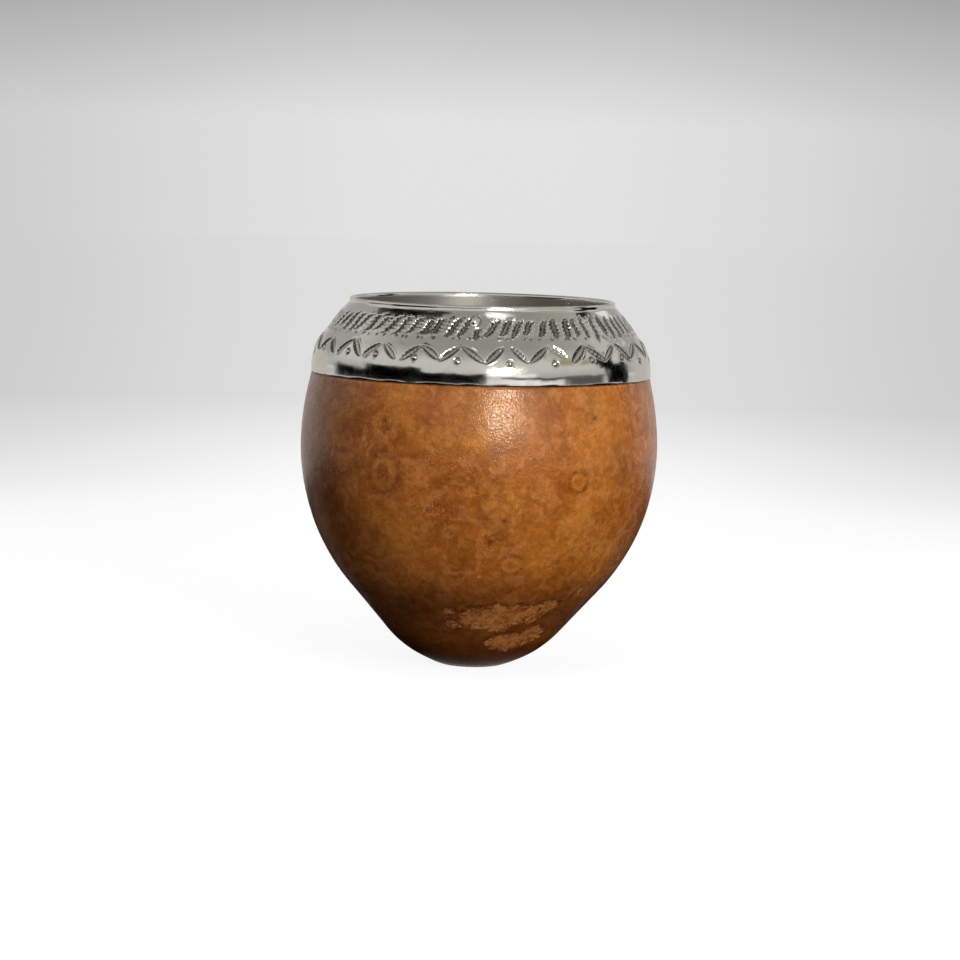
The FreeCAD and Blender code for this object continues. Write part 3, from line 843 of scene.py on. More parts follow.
@dataclass
class Gourd:
    """The hollow gourd, from its rest up the outside, over the cut edge and down the inside."""

    form: CupForm = CupForm()
    skin: GourdSkin = GourdSkin()
    columns: int = 480
    inner_columns: int = 120
    pole_radius: float = 0.3
    rest_step: float = 1.2
    row_step: float = 0.52
    inner_step: float = 2.2
    floor_turn: float = -89.4
    inset: float = 0.16
    lump: float = 0.13
    lump_size: float = 24.0
    ripple: float = 0.035
    ripple_size: float = 6.0
    tip_lean: float = -0.7
    tip_height: float = 22.0
    fade: float = 2.5
    ring_groove: float = 0.03
    pit_depth: float = 0.12
    scar_depth: float = 0.12
    scar_edge: Point = (0.42, 0.58)
    ring_border: Point = (1.12, 0.27)
    ring_eye: Point = (0.0, 0.40)
    ring_gold: Point = (0.72, 0.22)
    ring_sunk: Point = (1.0, 0.20)
    umber_and_shade_falls: tuple[tuple[float, float, float], ...] = ((0.62, 29.0, 16.0), (0.18, 18.0, 2.0))
    scatter_seed: int = 11
    pit_count: int = 90
    ring_count: int = 16

    def outline(self) -> Path:
        """Outside of the gourd, from the rest up to the collar's seat.

        Returns:
            The half section.
        """
        form = self.form
        rest_turn = -math.degrees(math.acos(form.rest_radius / form.base_arc))
        seat_turn = math.degrees(math.asin(form.seat_rise / form.upper_arc))
        path = Path(self.pole_radius, 0.0, self.rest_step)
        path.line(form.rest_radius, 0.0)
        path.step = self.row_step
        path.arc(form.base_centre, form.base_arc, rest_turn, -form.flank_angle)
        path.line(*around(form.lower_centre, form.lower_arc, -form.flank_angle))
        path.arc(form.lower_centre, form.lower_arc, -form.flank_angle, 0.0)
        path.arc(form.upper_centre, form.upper_arc, 0.0, seat_turn)
        return path

    def inside(self) -> Path:
        """Neck under the collar, cut edge and inside of the gourd, down to the floor's middle.

        Returns:
            The half section.
        """
        form = self.form
        sunk = form.sheet + form.glue_gap
        bore = form.bore_radius + sunk
        edge = bore + form.cut_edge
        edge_height = form.cone_height(sunk, edge)
        path = Path(form.band_radius - sunk, form.seat_height, self.inner_step)
        path.line(form.band_radius - sunk, form.shoulder_centre[1])
        path.arc(form.shoulder_centre, form.shoulder_arc - sunk, 0.0, form.cone_angle)
        path.line(edge, edge_height)
        path.line(bore, edge_height)
        upper = form.upper_arc - form.gourd_wall
        bore_turn = math.degrees(math.acos((bore - form.upper_centre[0]) / upper))
        path.line(*around(form.upper_centre, upper, bore_turn))
        path.arc(form.upper_centre, upper, bore_turn, 0.0)
        path.arc(form.lower_centre, form.lower_arc - form.gourd_wall, 0.0, -form.flank_angle)
        floor = form.base_arc - form.gourd_wall
        path.arc(form.base_centre, floor, -form.flank_angle, self.floor_turn)
        return path

    def radius_at(self, height: float) -> float:
        """Outside radius of the gourd at a height."""
        radii, heights = np.array(self.outline().points).T
        return float(np.interp(height, heights, radii))

    def marks(self) -> list[SkinMark]:
        """Listed marks, then small pits and faint rings scattered all round.

        Returns:
            All the marks.
        """
        found = [SkinMark(kind, *row) for kind, rows in SKIN_MARKS.items() for row in rows]
        draw = np.random.default_rng(self.scatter_seed)
        for _ in range(self.pit_count):
            pit = draw.uniform((-180.0, 12.0, 0.25, 0.3), (180.0, 69.0, 0.5, 0.8))
            found.append(SkinMark(MarkKind.PIT, *pit))
        for _ in range(self.ring_count):
            *ring, tall, strength = draw.uniform((60.0, 18.0, 2.2, 0.9, 0.2), (300.0, 66.0, 4.2, 1.3, 0.5))
            found.append(SkinMark(MarkKind.RING, *ring, strength, tall))
        return found

    def relief_and_tones(self, places: Array) -> tuple[Array, dict[str, Array]]:
        """Height of the skin's relief and the tones of its marks.

        Args:
            places: Points of the outside in millimetres.

        Returns:
            Relief in millimetres, outwards, and the named tones from 0 to 1.
        """
        relief = self.lump * np.clip(wander(places, self.lump_size, 2, 3.1), -1.0, 1.0)
        relief += self.ripple * np.clip(wander(places, self.ripple_size, 3, 7.7), -1.0, 1.0)
        tones = {name: np.zeros(len(places)) for name in TONES}
        # Painted shade, partly a real darker base: the skin darkens towards the bottom.
        level = places[:, 2] + 3.0 * wander(places, 14.0, 3, 5.3)
        for share, top, bottom in self.umber_and_shade_falls:
            tones["umber_and_painted_shade"] += share * smooth_step(top, bottom, level)
        for mark in self.marks():
            away = mark.spread(places, self.radius_at(mark.height))
            lifts: dict[str, Array] = {}
            if mark.kind in SOFT_TONES:
                lifts[SOFT_TONES[mark.kind]] = bell(away, 0.0, 1.0)
            elif mark.kind is MarkKind.RING:
                stain = bell(away, *self.ring_border) + 0.6 * bell(away, *self.ring_eye)
                lifts = {"stain": 0.72 * stain, "golden_and_painted_sheen": bell(away, *self.ring_gold)}
                relief -= self.ring_groove * bell(away, *self.ring_sunk)
            elif mark.kind is MarkKind.PIT:
                lifts["stain"] = 0.85 * smooth_step(1.45, 0.5, away)
                relief -= self.pit_depth * mark.radius * smooth_step(1.4, 0.2, away)
            elif mark.kind is MarkKind.PALE:
                lifts["pale"] = 0.75 * smooth_step(1.5, 0.4, away)
            else:
                lifts["scar"] = np.clip(1.0 - 0.5 * away**2, 0.0, 1.0)
            for name, lift in lifts.items():
                tones[name] = np.maximum(tones[name], mark.strength * lift)
        ragged = tones["scar"] + 0.35 * wander(places, 2.5, 4, 9.4)
        relief -= self.scar_depth * smooth_step(*self.scar_edge, ragged)
        tones["umber_and_painted_shade"] *= 1.0 - 0.55 * smooth_step(0.45, 0.6, tones["scar"])
        return relief, tones

    def build(self) -> Thing:
        """Build the gourd and give it its skin.

        Returns:
            The piece that stands for the gourd.
        """
        form, body = self.form, Turning()
        turns, inner_turns = full_circle(self.columns), full_circle(self.inner_columns)
        points = self.outline().points
        radii, heights = np.array(points).T
        slopes = np.arctan2(np.gradient(radii), np.gradient(heights))
        relief, tones = self.relief_and_tones(
            np.concatenate([ring_places(radius, height, turns) for radius, height in points])
        )
        settle = smooth_step(0.0, self.fade, form.seat_height - heights)
        settle *= smooth_step(0.0, 1.5, heights)
        outs = (relief.reshape(len(points), -1) - self.inset) * settle[:, None]
        tones = {name: tone.reshape(len(points), -1) for name, tone in tones.items()}
        for row, (radius, height) in enumerate(points):
            flat, rise = outs[row] * math.cos(slopes[row]), outs[row] * math.sin(slopes[row])
            ring = ring_places(radius + flat, height - rise, turns)
            ring[:, 0] += self.tip_lean * smooth_step(self.tip_height, 0.0, height)
            body.ring(ring, **{name: tone[row] for name, tone in tones.items()}, inside=0.0)
        for radius, height in self.inside().points:
            covered = height > form.seat_height and radius > form.bore_radius + 1.5
            fibre = ring_places(radius, height, inner_turns)
            body.ring(fibre, **dict.fromkeys(tones, 0.0), inside=0.0 if covered else 1.0)
        piece = body.build("gourd_shell_skin", self.skin.build())
        close_poles(piece)
        return piece


def close_poles(piece: Thing) -> None:
    """Close the small holes left on the height axis, each with one face.

    Args:
        piece: The piece with the holes.
    """
    mesh = bmesh.new()
    mesh.from_mesh(piece.data)
    rims = [edge for edge in mesh.edges if edge.is_boundary]
    bmesh.ops.holes_fill(mesh, edges=rims, sides=0)
    bmesh.ops.recalc_face_normals(mesh, faces=mesh.faces)
    mesh.to_mesh(piece.data)
    mesh.free()


# Collar


@dataclass(frozen=True)
class Punch:
    """One mark of the punch: a pointed groove with one steep side and a raised burr.

    The place is the turn from the front in degrees and the way up the metal in millimetres, from
    the foot of the shoulder. The lean is from the horizontal, and the sizes are in millimetres.
    The burrs and the swell each lie at a distance from the groove's edge, with a width.
    """

    turn: float
    up: float
    length: float
    width: float
    lean: float
    depth: float
    burr: float
    bend: float = 0.0
    sway: float = 0.0
    teeth: float = 6.0
    phase: float = 0.0
    tilt: float = 0.55
    swell: float = 0.0
    serration: float = 0.0
    # Strength of the dark fill: tarnish in the groove, and painted shade along its edges.
    grime_and_painted_shade: float = 1.0
    fill: float = 0.50
    burr_off: Point = (0.13, 0.17)
    far_burr_off: Point = (0.12, 0.13)
    far_burr: float = 0.35
    swell_off: Point = (0.55, 0.45)

    @property
    def reach(self) -> float:
        """Distance from its middle that it can touch."""
        return 0.5 * self.length + self.width + 0.5

    def press(self, x: Array, y: Array) -> tuple[Array, Array]:
        """Height that the mark gives the metal, and its dark fill with painted shade along one edge.

        Args:
            x: Distance from its middle round the collar.
            y: Distance from its middle up the metal.

        Returns:
            Height in millimetres, and the dark fill with painted shade, from 0 to 1.
        """
        lean = math.radians(self.lean)
        along = (x * math.cos(lean) + y * math.sin(lean)) / (0.5 * self.length)
        side = y * math.cos(lean) - x * math.sin(lean)
        side = side - self.bend * (1.0 - along**2) - self.sway * np.sin(math.pi * along)
        side *= math.copysign(1.0, self.lean)
        taper = np.clip(1.0 - along**2, 0.0, 1.0)
        wave = np.sin(math.pi * self.teeth * along + self.phase)
        half = 0.5 * self.width * taper**0.65 * (1.0 + self.serration * wave) + 1e-6
        across = side / half
        wall = smooth_step(1.10, 0.74, np.abs(across)) * (taper > 0.0)
        floor = 1.0 - self.tilt + self.tilt * 0.5 * (across + 1.0)
        sunk = wall * floor * (1.0 + 0.14 * wave) * taper**0.25
        off, width = self.burr_off
        far_off, far_width = self.far_burr_off
        ridges = bell(side, -half - off, width) + self.far_burr * bell(side, half + far_off, far_width)
        height = self.burr * ridges * taper**0.6 - self.depth * sunk
        off, width = self.swell_off
        height += self.swell * bell(np.abs(side), half + off, width) * taper**0.5
        # Painted shade: the dark outline is heavier on one side of the groove than on the other.
        shade = 0.68 + 0.32 * np.clip(across, -1.0, 1.0)
        outline = smooth_step(0.22, 0.62, np.abs(across)) * wall * shade
        return height, np.clip(self.grime_and_painted_shade * (self.fill * sunk + outline), 0.0, 1.0)


@dataclass(frozen=True)
class Pearl:
    """Round pearl inside a punched ring, or a plain dot where the pearl's height is nothing."""

    turn: float
    up: float
    ring: float = 0.66
    ring_width: float = 0.19
    depth: float = 0.24
    rise: float = 0.18

    @property
    def reach(self) -> float:
        """Distance from its middle that it can touch."""
        return self.ring + 4.0 * self.ring_width

    def press(self, x: Array, y: Array) -> tuple[Array, Array]:
        """Height that the pearl gives the metal, and its soot.

        Args:
            x: Distance from its middle round the collar.
            y: Distance from its middle up the metal.

        Returns:
            Height in millimetres, and soot from 0 to 1.
        """
        away = np.hypot(x, y)
        groove = bell(away, self.ring, self.ring_width)
        swell = np.sqrt(np.clip(1.0 - (away / self.ring) ** 2, 0.0, 1.0))
        burr = bell(away, self.ring + 2.1 * self.ring_width, self.ring_width)
        return self.depth * (0.25 * burr - groove) + self.rise * swell, 0.95 * groove


@dataclass(frozen=True)
class Boss:
    """Smooth raised place in the row of strokes."""

    turn: float = -2.8
    up: float = 15.6
    half_width: float = 1.35
    half_height: float = 1.65
    rise: float = 0.80

    @property
    def reach(self) -> float:
        """Distance from its middle that it can touch."""
        return 1.4 * self.half_height

    def press(self, x: Array, y: Array) -> tuple[Array, Array]:
        """Height that the boss gives the metal, and painted shade round its right side.

        Args:
            x: Distance from its middle round the collar.
            y: Distance from its middle up the metal.

        Returns:
            Height in millimetres, and painted shade from 0 to 1.
        """
        away = (x / self.half_width) ** 2 + (y / self.half_height) ** 2
        # Painted shade: a dark edge round the boss's right side only.
        edge = bell(np.sqrt(away), 1.02, 0.16) * smooth_step(-0.2, 1.0, x)
        return self.rise * np.clip(1.0 - away, 0.0, 1.0) ** 1.3, 0.9 * edge


Mark = Punch | Pearl | Boss
Hand = Callable[[float], float]


class Row(NamedTuple):
    """Row of the collar's outside, with the way up the metal where marks can be."""

    radius: float
    height: float
    slope: float
    up: float = -math.inf


def signed(degrees: float) -> float:
    """The same turn between -180 and 180 degrees."""
    return (degrees + 180.0) % 360.0 - 180.0


@dataclass
class Collar:
    """Metal collar: band, chased shoulder and cone, rolled lip and the sleeve in the mouth."""

    form: CupForm = CupForm()
    metal: CollarMetal = CollarMetal()
    boss: Boss = Boss()
    units: int = 24
    columns_in_unit: int = 40
    thinning: int = 4
    first_peak: float = 8.6
    leaf_up: float = 6.4
    leaf_length: float = 6.4
    leaf_width: float = 1.85
    leaf_lean: float = 41.0
    leaf_depth: float = 0.34
    pearl_up: float = 3.7
    strokes_in_unit: int = 3
    stroke_up: float = 13.7
    stroke_length: float = 5.9
    stroke_width: float = 1.65
    stroke_lean: float = 51.0
    upright_lean: float = 80.0
    upright_from: float = 28.0
    upright_to: float = 75.0
    stroke_depth: float = 0.34
    boss_room: float = 3.2
    boss_drop: float = 1.3
    boss_cut: float = 0.6
    hollow_shares: tuple[float, ...] = (0.25, 0.5, 0.75)
    dish: float = 0.08
    dish_reach: float = 2.7
    crown: float = 0.26
    crown_from: float = 15.4
    unevenness: float = 0.042
    unevenness_size: float = 6.0
    edge_rows: int = 4
    hollow: float = 0.45
    hollow_end: float = 62.0
    lip_step: float = 0.26
    inner_step: float = 1.8
    hand_seed: int = 5
    lit_leaves: tuple[Point, ...] = ((-10.15, 6.7), (27.35, 7.3))
    front_pearls: tuple[Point, ...] = (
        (-69.0, 5.36), (-51.3, 5.15), (-37.9, 5.15), (-22.7, 4.93), (-7.9, 4.50),
        (9.5, 4.18), (25.3, 4.18), (40.2, 4.82), (55.6, 5.03),
    )
    row_zones: tuple[Point, ...] = ((2.5, 0.42), (8.6, 0.178), (10.6, 0.5), (16.9, 0.20))
    last_zone_step: float = 0.38

    @property
    def unit(self) -> float:
        """Turn from one peak of the leaves to the next, in degrees."""
        return 360.0 / self.units

    def leaf(self, turn: float, side: float, off: Hand) -> Punch:
        """Leaf beside a peak, with almost no dark fill where the photograph shows it catching the light: a
        painted highlight.

        Args:
            turn: Its turn from the front, in degrees.
            side: -1 to the left of the peak, 1 to the right.
            off: Small error of the hand.

        Returns:
            The leaf's mark.
        """
        catches = [up for place, up in self.lit_leaves if abs(turn - place) < 1.0]
        return Punch(
            turn=turn + off(0.35),
            up=(catches or [self.leaf_up])[0] + off(0.16),
            length=self.leaf_length * (1.0 + off(0.06)),
            width=self.leaf_width * (1.0 + off(0.10)),
            lean=-side * (self.leaf_lean + off(4.0)),
            depth=self.leaf_depth * (1.0 + off(0.18)),
            burr=0.13 * (1.0 + off(0.25)),
            bend=off(0.08),
            phase=off(2.0),
            tilt=-0.8 if catches else 0.55,
            # Painted highlight: leaves that catch the light get almost no dark fill.
            grime_and_painted_shade=0.12 if catches else 1.8,
            fill=0.22,
        )

    def pearl(self, peak: float, off: Hand) -> Pearl:
        """Pearl under a peak, moved to its place in the photograph on the front.

        Args:
            peak: Turn of the peak from the front, in degrees.
            off: Small error of the hand.

        Returns:
            The pearl's mark.
        """
        pearl = Pearl(turn=peak + off(0.5), up=self.pearl_up + off(0.14), rise=0.16 + off(0.03))
        for turn, up in self.front_pearls:
            if abs(signed(turn - peak)) < 0.5 * self.unit:
                pearl = replace(pearl, turn=turn, up=up)
        return pearl

    def stroke(self, turn: float, off: Hand) -> list[Mark]:
        """Stroke with two dots at its foot, shorter and lower under the boss.

        Args:
            turn: Its turn from the front, in degrees.
            off: Small error of the hand.

        Returns:
            The marks of the stroke and its dots.
        """
        turn += off(0.45)
        under_boss = abs(signed(turn) - self.boss.turn) < self.boss_room
        upright = self.upright_from < signed(turn) < self.upright_to
        stroke = Punch(
            turn=turn,
            up=self.stroke_up + off(0.18) - (self.boss_drop if under_boss else 0.0),
            length=self.stroke_length * (self.boss_cut if under_boss else 1.0 + off(0.11)),
            width=self.stroke_width * (1.0 + off(0.16)),
            lean=(self.upright_lean if upright else self.stroke_lean) + off(5.0),
            depth=self.stroke_depth * (1.0 + off(0.20)),
            burr=0.02 * (1.0 + off(0.30)),
            bend=off(0.10),
            sway=0.30 + off(0.12),
            phase=off(2.0),
            tilt=0.40,
            swell=0.11 + off(0.03),
            serration=0.22,
            grime_and_painted_shade=1.7,
        )
        foot = self.stroke_up - 0.5 * self.stroke_length
        dots = [
            Pearl(turn - 1.6 + off(1.1), foot + off(0.25), ring=0.10, ring_width=0.24, depth=0.09, rise=0.0)
            for _ in range(2)
        ]
        return [stroke, *dots]

    def marks(self) -> list[Mark]:
        """All the marks, each a little off its place as a hand puts it.

        Returns:
            The marks, in the order in which they are drawn.
        """
        draw = np.random.default_rng(self.hand_seed)
        made: list[Mark] = []

        def off(spread: float) -> float:
            """Small error of the hand."""
            return float(draw.normal(0.0, spread))

        for number in range(self.units):
            peak = self.first_peak + self.unit * number
            made += [self.leaf(peak + side * self.unit / 4, side, off) for side in (-1.0, 1.0)]
            made.append(self.pearl(peak, off))
            for place in range(self.strokes_in_unit):
                made += self.stroke(peak + self.unit * (place / self.strokes_in_unit), off)
        return [*made, self.boss]

    def rows(self) -> list[Row]:
        """Rows of the outside, close together in the ornament.

        Returns:
            The rows, from the lower edge to the crease.
        """
        form = self.form
        centre = form.shoulder_centre
        edge_centre = (form.band_radius - form.edge_round, form.seat_height + form.edge_round)
        rows = [
            Row(*around(edge_centre, form.edge_round, turn), turn) for turn in (-90, -65, -40, -18, 0)
        ]
        rows.append(Row(form.band_radius, 0.5 * (edge_centre[1] + centre[1]), 0.0))
        turned = form.slope * form.shoulder_arc
        foot, crease = form.cone_foot(0.0), self.before_crease()
        total = turned + math.dist(foot, crease)
        at = 0.0
        stops = [at]
        for end, step in (*self.row_zones, (total, self.last_zone_step)):
            count = round((end - at) / step)
            stops += [at + (end - at) * part / count for part in range(1, count + 1)]
            at = end
        for stop in stops:
            if stop <= turned:
                angle = math.degrees(stop / form.shoulder_arc)
                rows.append(Row(*around(centre, form.shoulder_arc, angle), angle, stop))
            else:
                share = (stop - turned) / (total - turned)
                place = (low + (high - low) * share for low, high in zip(foot, crease))
                rows.append(Row(*place, form.cone_angle, stop))
        return rows

    def chase(self, rows: list[Row], turns: Array) -> tuple[Array, Array]:
        """Press every mark into the outside.

        Args:
            rows: Rows of the outside.
            turns: Turns of its columns, in radians.

        Returns:
            Height in millimetres and the dark fill with painted shade, each with a value for every row and
            column.
        """
        height, soot = np.zeros((2, len(rows), len(turns)))
        ups, radii = np.array([row.up for row in rows]), np.array([row.radius for row in rows])
        chased = ups >= 0.0
        rising = np.clip((ups - self.crown_from) / (ups[-1] - self.crown_from), 0.0, 1.0)
        sunk = self.dish * bell(ups, self.stroke_up, self.dish_reach) + self.crown * rising**2
        height[chased] -= sunk[chased, None]
        for mark in self.marks():
            near = np.nonzero(np.abs(ups - mark.up) < mark.reach)[0]
            apart = (turns - math.radians(mark.turn) + math.pi) % (2 * math.pi) - math.pi
            columns = np.nonzero(np.abs(apart) * radii[near].mean() < mark.reach)[0]
            x = apart[columns][None, :] * radii[near][:, None]
            y = np.broadcast_to((ups[near] - mark.up)[:, None], x.shape)
            rise, dark = mark.press(x, y)
            part = np.ix_(near, columns)
            height[part] += rise
            soot[part] = np.maximum(soot[part], dark)
        return height, soot

    def build(self) -> Thing:
        """Build the collar and give it its metal.

        Returns:
            The piece that stands for the collar.
        """
        body, rows = Turning(), self.rows()
        turns = full_circle(self.units * self.columns_in_unit)
        height, soot = self.chase(rows, turns)
        for number, row in enumerate(rows):
            tilt, out = math.radians(row.slope), height[number]
            if number >= self.edge_rows:
                flat = ring_places(row.radius, row.height, turns)
                settle = smooth_step(0.0, 2.0, rows[-1].height - row.height)
                out = out + settle * self.unevenness * wander(flat, self.unevenness_size, 3, 1.7)
            moved = ring_places(row.radius + out * math.cos(tilt), row.height + out * math.sin(tilt), turns)
            body.ring(moved, soot=soot[number], inside=0.0)
        for point in self.lip():
            body.ring(ring_places(*point, turns), soot=0.0, inside=0.0)
        for point in self.inside().points:
            body.ring(ring_places(*point, turns[:: self.thinning]), soot=0.0, inside=1.0)
        return body.build("rim_collar_chased", self.metal.build(), closed=True)

    def before_crease(self) -> Point:
        """Place on the cone where the hollow below the lip begins."""
        crease, slope = self.form.crease, self.form.slope
        return crease[0] + self.hollow * math.sin(slope), crease[1] - self.hollow * math.cos(slope)

    def lip(self) -> list[Point]:
        """Rolled lip, led into by a soft hollow, over to the mouth's edge.

        Returns:
            Points of radius and height.
        """
        form = self.form
        sunk = self.crown * np.array((math.cos(form.slope), math.sin(form.slope)))
        begin, crease = np.array(self.before_crease()) - sunk, np.array(form.crease) - sunk
        joined = form.crease_turn + self.hollow_end
        end = around(form.lip_centre, form.lip_round, joined)
        points = []
        for share in self.hollow_shares:
            bent = (1.0 - share) ** 2 * begin + 2.0 * share * (1.0 - share) * crease
            points.append(tuple(bent + share**2 * np.array(end)))
        path = Path(*end, self.lip_step)
        path.arc(form.lip_centre, form.lip_round, joined, 180.0)
        return points + path.points

    def inside(self) -> Path:
        """Sleeve in the mouth and inside of the skirt, down to the lower edge.

        Returns:
            The half section.
        """
        form = self.form
        bore = form.bore_radius
        outer = bore + form.sheet
        sleeve_end = form.lip_centre[1] + form.lip_round - form.sleeve_depth
        fold = form.shoulder_centre[1] + (form.band_radius - bore) / math.tan(form.slope)
        path = Path(bore, form.lip_centre[1] - 0.6, self.inner_step)
        path.line(bore, sleeve_end)
        path.line(outer, sleeve_end)
        path.line(outer, min(form.cone_height(form.sheet, outer), fold))
        path.line(*form.cone_foot(form.sheet))
        path.arc(form.shoulder_centre, form.shoulder_arc - form.sheet, form.cone_angle, 0.0)
        path.line(form.band_radius - form.sheet, form.seat_height)
        return path


# Studio


@dataclass(frozen=True)
class Card:
    """Curved card about the collar that only reflections see, placed by angles in degrees.

    Its edges fade out, and where it looks down it lies just above the floor.
    """

    name: str
    left: float
    right: float
    low: float
    high: float
    glow: float
    soft: float
    away: float
    tint: Colour = (1.0, 1.0, 1.0)
    height: float = 0.08
    lift: float = 0.001
    step: float = 2.0

    def build(self) -> Thing:
        """Build the card.

        Returns:
            The card, as part of the stage.
        """
        columns = max(10, round((self.right - self.left) / self.step)) + 1
        rows = max(6, round((self.high - self.low) / self.step)) + 1
        turns = np.linspace(self.left, self.right, columns)
        sides = np.minimum(turns - self.left, self.right - turns)
        places, fades = [], []
        for up in np.linspace(self.low, self.high, rows):
            away, rise = self.away, math.sin(math.radians(up))
            if up < 0.0:
                away = min(away, (self.height - self.lift) / -rise)
            flat = away * math.cos(math.radians(up))
            places += ring_places(flat, self.height + away * rise, np.radians(turns)).tolist()
            inner = np.minimum(sides, min(up - self.low, self.high - up))
            fades += smooth_step(0.0, self.soft, inner).tolist()
        faces = [
            (start, start + 1, start + columns + 1, start + columns)
            for start in range((rows - 1) * columns)
            if (start + 1) % columns
        ]
        mesh = bpy.data.meshes.new(self.name)
        mesh.from_pydata(places, [], faces)
        mesh.attributes.new("fade", "FLOAT", "POINT").data.foreach_set("value", fades)
        graph = Graph(bpy.data.materials.new(self.name))
        clear = graph.node("BsdfTransparent")
        glow = graph.node("Emission", {"Color": self.tint, "Strength": self.glow})
        feeds = {0: graph.surface("fade"), 1: clear.outputs[0], 2: glow.outputs[0]}
        mesh.materials.append(graph.finish(graph.node("MixShader", feeds)))
        card = add(self.name, mesh)
        card.visible_camera = False
        card.visible_diffuse = False
        card.visible_shadow = False
        card.visible_transmission = False
        return card


@dataclass(frozen=True)
class Softbox:
    """Flat studio light that looks at the cup, placed by angles in degrees."""

    name: str
    turn: float
    elevation: float
    away: float
    width: float
    height: float
    radiance: float
    target: tuple[float, float, float] = (0.0, 0.0, 0.06)

    def build(self) -> Thing:
        """Build the light.

        Returns:
            The light.
        """
        lamp = bpy.data.lights.new(self.name, "AREA")
        lamp.shape = "RECTANGLE"
        lamp.size, lamp.size_y = self.width, self.height
        lamp.energy = math.pi * self.width * self.height * self.radiance
        light = add(self.name, lamp)
        light.visible_glossy = False
        turn, up = math.radians(self.turn), math.radians(self.elevation)
        out = Vector((math.cos(up) * math.sin(turn), -math.cos(up) * math.cos(turn), math.sin(up)))
        light.location = Vector(self.target) + self.away * out
        light.rotation_euler = out.to_track_quat("Z", "Y").to_euler()
        return light


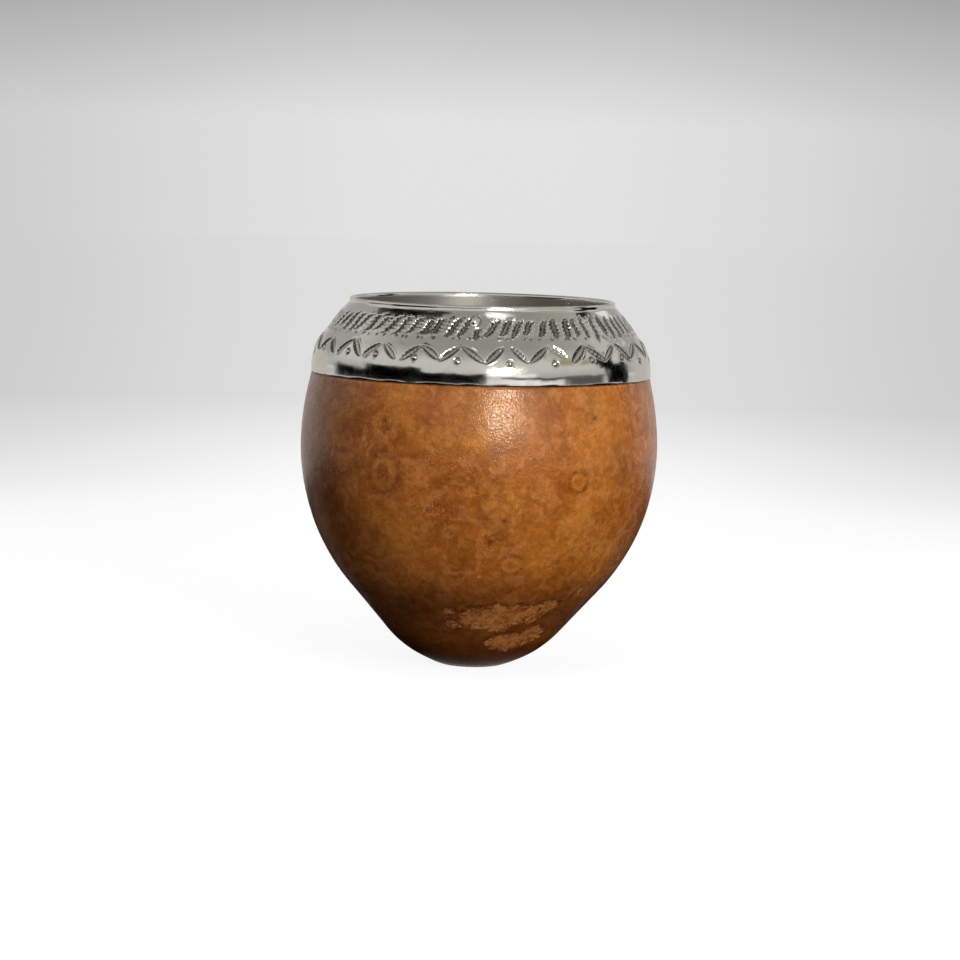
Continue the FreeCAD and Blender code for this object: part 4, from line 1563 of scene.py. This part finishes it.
@dataclass
class Studio:
    """Pale floor, grey surroundings, soft lights and the cards that the metal reflects."""

    floor_radius: float = 3.0
    floor_sides: int = 96
    floor_level: float = -0.00002
    floor_paint: Colour = (0.17, 0.17, 0.17)
    floor_glow: float = 0.90
    side_fall: float = 0.20
    fall_apart: float = 0.80
    day_level: float = 0.36
    floor_greys: tuple[Point, ...] = (
        (0.118, 1.0), (0.165, 0.93), (0.210, 0.83), (0.262, 0.74), (1.0, 0.76),
    )
    room_tones: tuple[tuple[float, float | Colour], ...] = (
        (0.0, 0.76), (0.052, 0.765), (0.072, 0.62), (0.092, 0.47), (0.16, (0.52, 0.52, 0.51)),
        (0.34, (0.66, 0.66, 0.64)), (0.60, (0.68, 0.68, 0.65)), (0.82, (0.43, 0.43, 0.40)),
        (1.0, (0.34, 0.34, 0.315)),
    )
    lights: tuple[Softbox, ...] = (
        Softbox("key_softbox", 32.0, 13.0, 1.2, 0.60, 0.50, 13.0),
        Softbox("top_softbox", 6.0, 62.0, 1.2, 0.60, 0.60, 3.2),
    )
    cards: tuple[Card, ...] = (
        Card("white_overhead", 10.0, 72.0, 74.0, 85.5, 1.8, 2.0, 1.2),
        Card("white_front", 0.0, 40.0, 1.0, 12.0, 1.2, 6.0, 1.25),
        Card("white_front_heart", 7.0, 23.0, 11.0, 19.5, 80.0, 4.0, 1.2, (1.0, 0.96, 0.82)),
        Card("warm_room", 48.0, 86.0, 20.0, 38.0, 0.42, 6.0, 0.8, (1.0, 0.84, 0.48)),
        Card("dark_table", -134.0, 126.0, -85.0, -7.0, 0.004, 6.0, 0.62),
        Card("dark_table_back", 118.0, 236.0, -85.0, -12.0, 0.01, 5.0, 0.62),
        Card("dark_front_left", -46.0, 4.0, -10.0, 9.5, 0.0, 2.5, 0.60),
        Card("dark_left", -84.0, -38.0, -10.0, 15.5, 0.0, 3.0, 0.61),
        Card("dark_far_left", -114.0, -78.0, -10.0, 8.0, 0.0, 5.0, 0.63),
        Card("dark_skyline", 12.0, 60.0, -2.4, 2.4, 0.03, 1.2, 0.66),
        Card("dark_front_right", 56.0, 90.0, -10.0, 5.0, 0.10, 2.5, 0.66),
        Card("dark_post", 91.0, 116.0, -9.0, 16.0, 0.0, 1.2, 0.64),
        Card("dark_post_head", 86.0, 104.0, 12.0, 27.0, 0.0, 1.2, 0.645),
        Card("dark_post_top", 119.0, 135.0, 36.5, 47.0, 0.0, 1.5, 0.66),
        Card("dark_shade_high", -97.0, -70.0, 60.5, 76.0, 0.0, 1.5, 0.75),
        Card("dark_shade_middle", -110.0, -88.0, 53.0, 67.0, 0.0, 1.5, 0.76),
        Card("dark_shade_low", -123.0, -103.0, 45.5, 60.0, 0.0, 1.5, 0.77),
        Card("dark_shade_edge", -134.0, -116.0, 39.0, 52.0, 0.03, 1.5, 0.78),
        Card("dark_right_panel", 98.0, 118.0, 26.0, 34.5, 0.12, 3.0, 0.79),
        Card("pale_right_panel", 137.0, 152.0, 22.0, 35.0, 0.95, 1.5, 0.79),
        Card("pale_back_wall", 124.0, 240.0, 8.0, 50.0, 0.42, 4.0, 1.6),
        Card("pale_back_foot", 124.0, 238.0, -16.0, 11.0, 0.60, 6.0, 1.5, (1.0, 0.96, 0.90)),
    )

    def floor(self) -> Thing:
        """Build the floor, white near the cup and pale grey far away.

        Returns:
            The floor, as part of the stage.
        """
        mesh = bpy.data.meshes.new("floor")
        rim = ring_places(self.floor_radius, 0.0, full_circle(self.floor_sides))
        mesh.from_pydata(rim.tolist(), [], [tuple(range(self.floor_sides))])
        ground = add("floor", mesh)
        ground.location.z = self.floor_level
        graph = Graph(bpy.data.materials.new("floor_paper"))
        away = graph.node("VectorMath", {0: graph.place}, operation="LENGTH").outputs["Value"]
        grey = graph.ramp(graph.math("DIVIDE", away, self.floor_radius), *self.floor_greys)
        depth = graph.math("ADD", graph.axis("Y"), self.fall_apart)
        side = graph.math("ABSOLUTE", graph.math("DIVIDE", graph.axis("X"), depth))
        fall = graph.times(self.falling(graph, side), graph.between(depth, 0.95, 1.30))
        bright = graph.times(graph.math("SUBTRACT", 1.0, fall), self.floor_glow)
        feeds = {"Color": grey, "Strength": graph.times(self.seen(graph), bright)}
        glow, paint = graph.node("Emission", feeds), graph.node("BsdfDiffuse", {"Color": self.floor_paint})
        both = graph.node("AddShader", {0: glow.outputs[0], 1: paint.outputs[0]})
        mesh.materials.append(graph.finish(both))
        return ground

    def falling(self, graph: Graph, side: Socket) -> Socket:
        """How much darker the room is towards its sides."""
        return graph.between(side, 0.02, 0.17, 0.0, self.side_fall)

    @staticmethod
    def seen(graph: Graph) -> Socket:
        """1 for rays from the camera, a gloss or a clear surface, and 0 for the rest.

        Args:
            graph: Graph of the material or world.

        Returns:
            The share of the glow that a ray sees.
        """
        path = graph.node("LightPath").outputs
        total = graph.math("ADD", path["Is Camera Ray"], path["Is Glossy Ray"])
        total = graph.math("ADD", total, path["Is Transmission Ray"])
        return graph.math("MINIMUM", total, 1.0)

    def surroundings(self) -> None:
        """Grey room: plain light for the object, and a soft gradient where it is seen."""
        graph = Graph(bpy.data.worlds.new("grey_room"))
        height = graph.between(graph.axis("Z", graph.direction), -0.05, 0.95, smooth=False)
        grey = graph.ramp(height, *self.room_tones)
        side = graph.math("ABSOLUTE", graph.axis("X", graph.direction))
        front = graph.between(graph.axis("Y", graph.direction), 0.0, 0.5)
        fall = graph.times(self.falling(graph, side), graph.between(side, 0.40, 0.20), front)
        grey = graph.shaded(grey, graph.math("SUBTRACT", 1.0, fall))
        colour = graph.mix((self.day_level,) * 3, grey, self.seen(graph))
        back = graph.node("Background", {"Color": colour, "Strength": 1.0})
        bpy.context.scene.world = graph.finish(back)

    def build(self) -> None:
        """Build the floor, the surroundings, the lights and the cards."""
        self.floor()
        self.surroundings()
        for item in (*self.lights, *self.cards):
            item.build()


@dataclass(frozen=True)
class PhotoCamera:
    """Camera where the photograph was taken from."""

    away: float = 0.8
    height: float = 0.1319
    aim: tuple[float, float, float] = (0.00043, 0.0, 0.04543)
    lens: float = 122.3
    sensor: float = 36.0
    roll: float = 0.024

    def build(self) -> Thing:
        """Build the camera and make it the scene's.

        Returns:
            The camera.
        """
        data = bpy.data.cameras.new("photo_camera")
        data.lens, data.sensor_width, data.sensor_fit = self.lens, self.sensor, "HORIZONTAL"
        camera = add("photo_camera", data)
        place = Vector((0.0, -self.away, self.height))
        look = (place - Vector(self.aim)).to_track_quat("Z", "Y").to_matrix().to_4x4()
        camera.matrix_world = Matrix.Translation(place) @ look @ Matrix.Rotation(self.roll, 4, "Z")
        bpy.context.scene.camera = camera
        return camera


def dress(piece: Thing, slot: Slot, node: str) -> None:
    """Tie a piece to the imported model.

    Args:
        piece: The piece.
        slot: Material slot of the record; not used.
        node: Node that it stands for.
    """
    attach(piece, BODY)
    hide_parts(node)
    LOG.info("%s: %d points, %d faces", piece.name, len(piece.data.vertices), len(piece.data.polygons))


def main() -> None:
    """Build the cup, then the studio and the camera."""
    logging.basicConfig(level=logging.INFO, format="%(name)s: %(message)s")
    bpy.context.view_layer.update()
    bpy.context.scene.view_settings.view_transform = "Standard"
    dress(Gourd().build(), Slot.GOURD, "gourd_shell")
    dress(Collar().build(), Slot.METAL, "rim_collar")
    Studio().build()
    PhotoCamera().build()


if __name__ == "__main__":
    main()
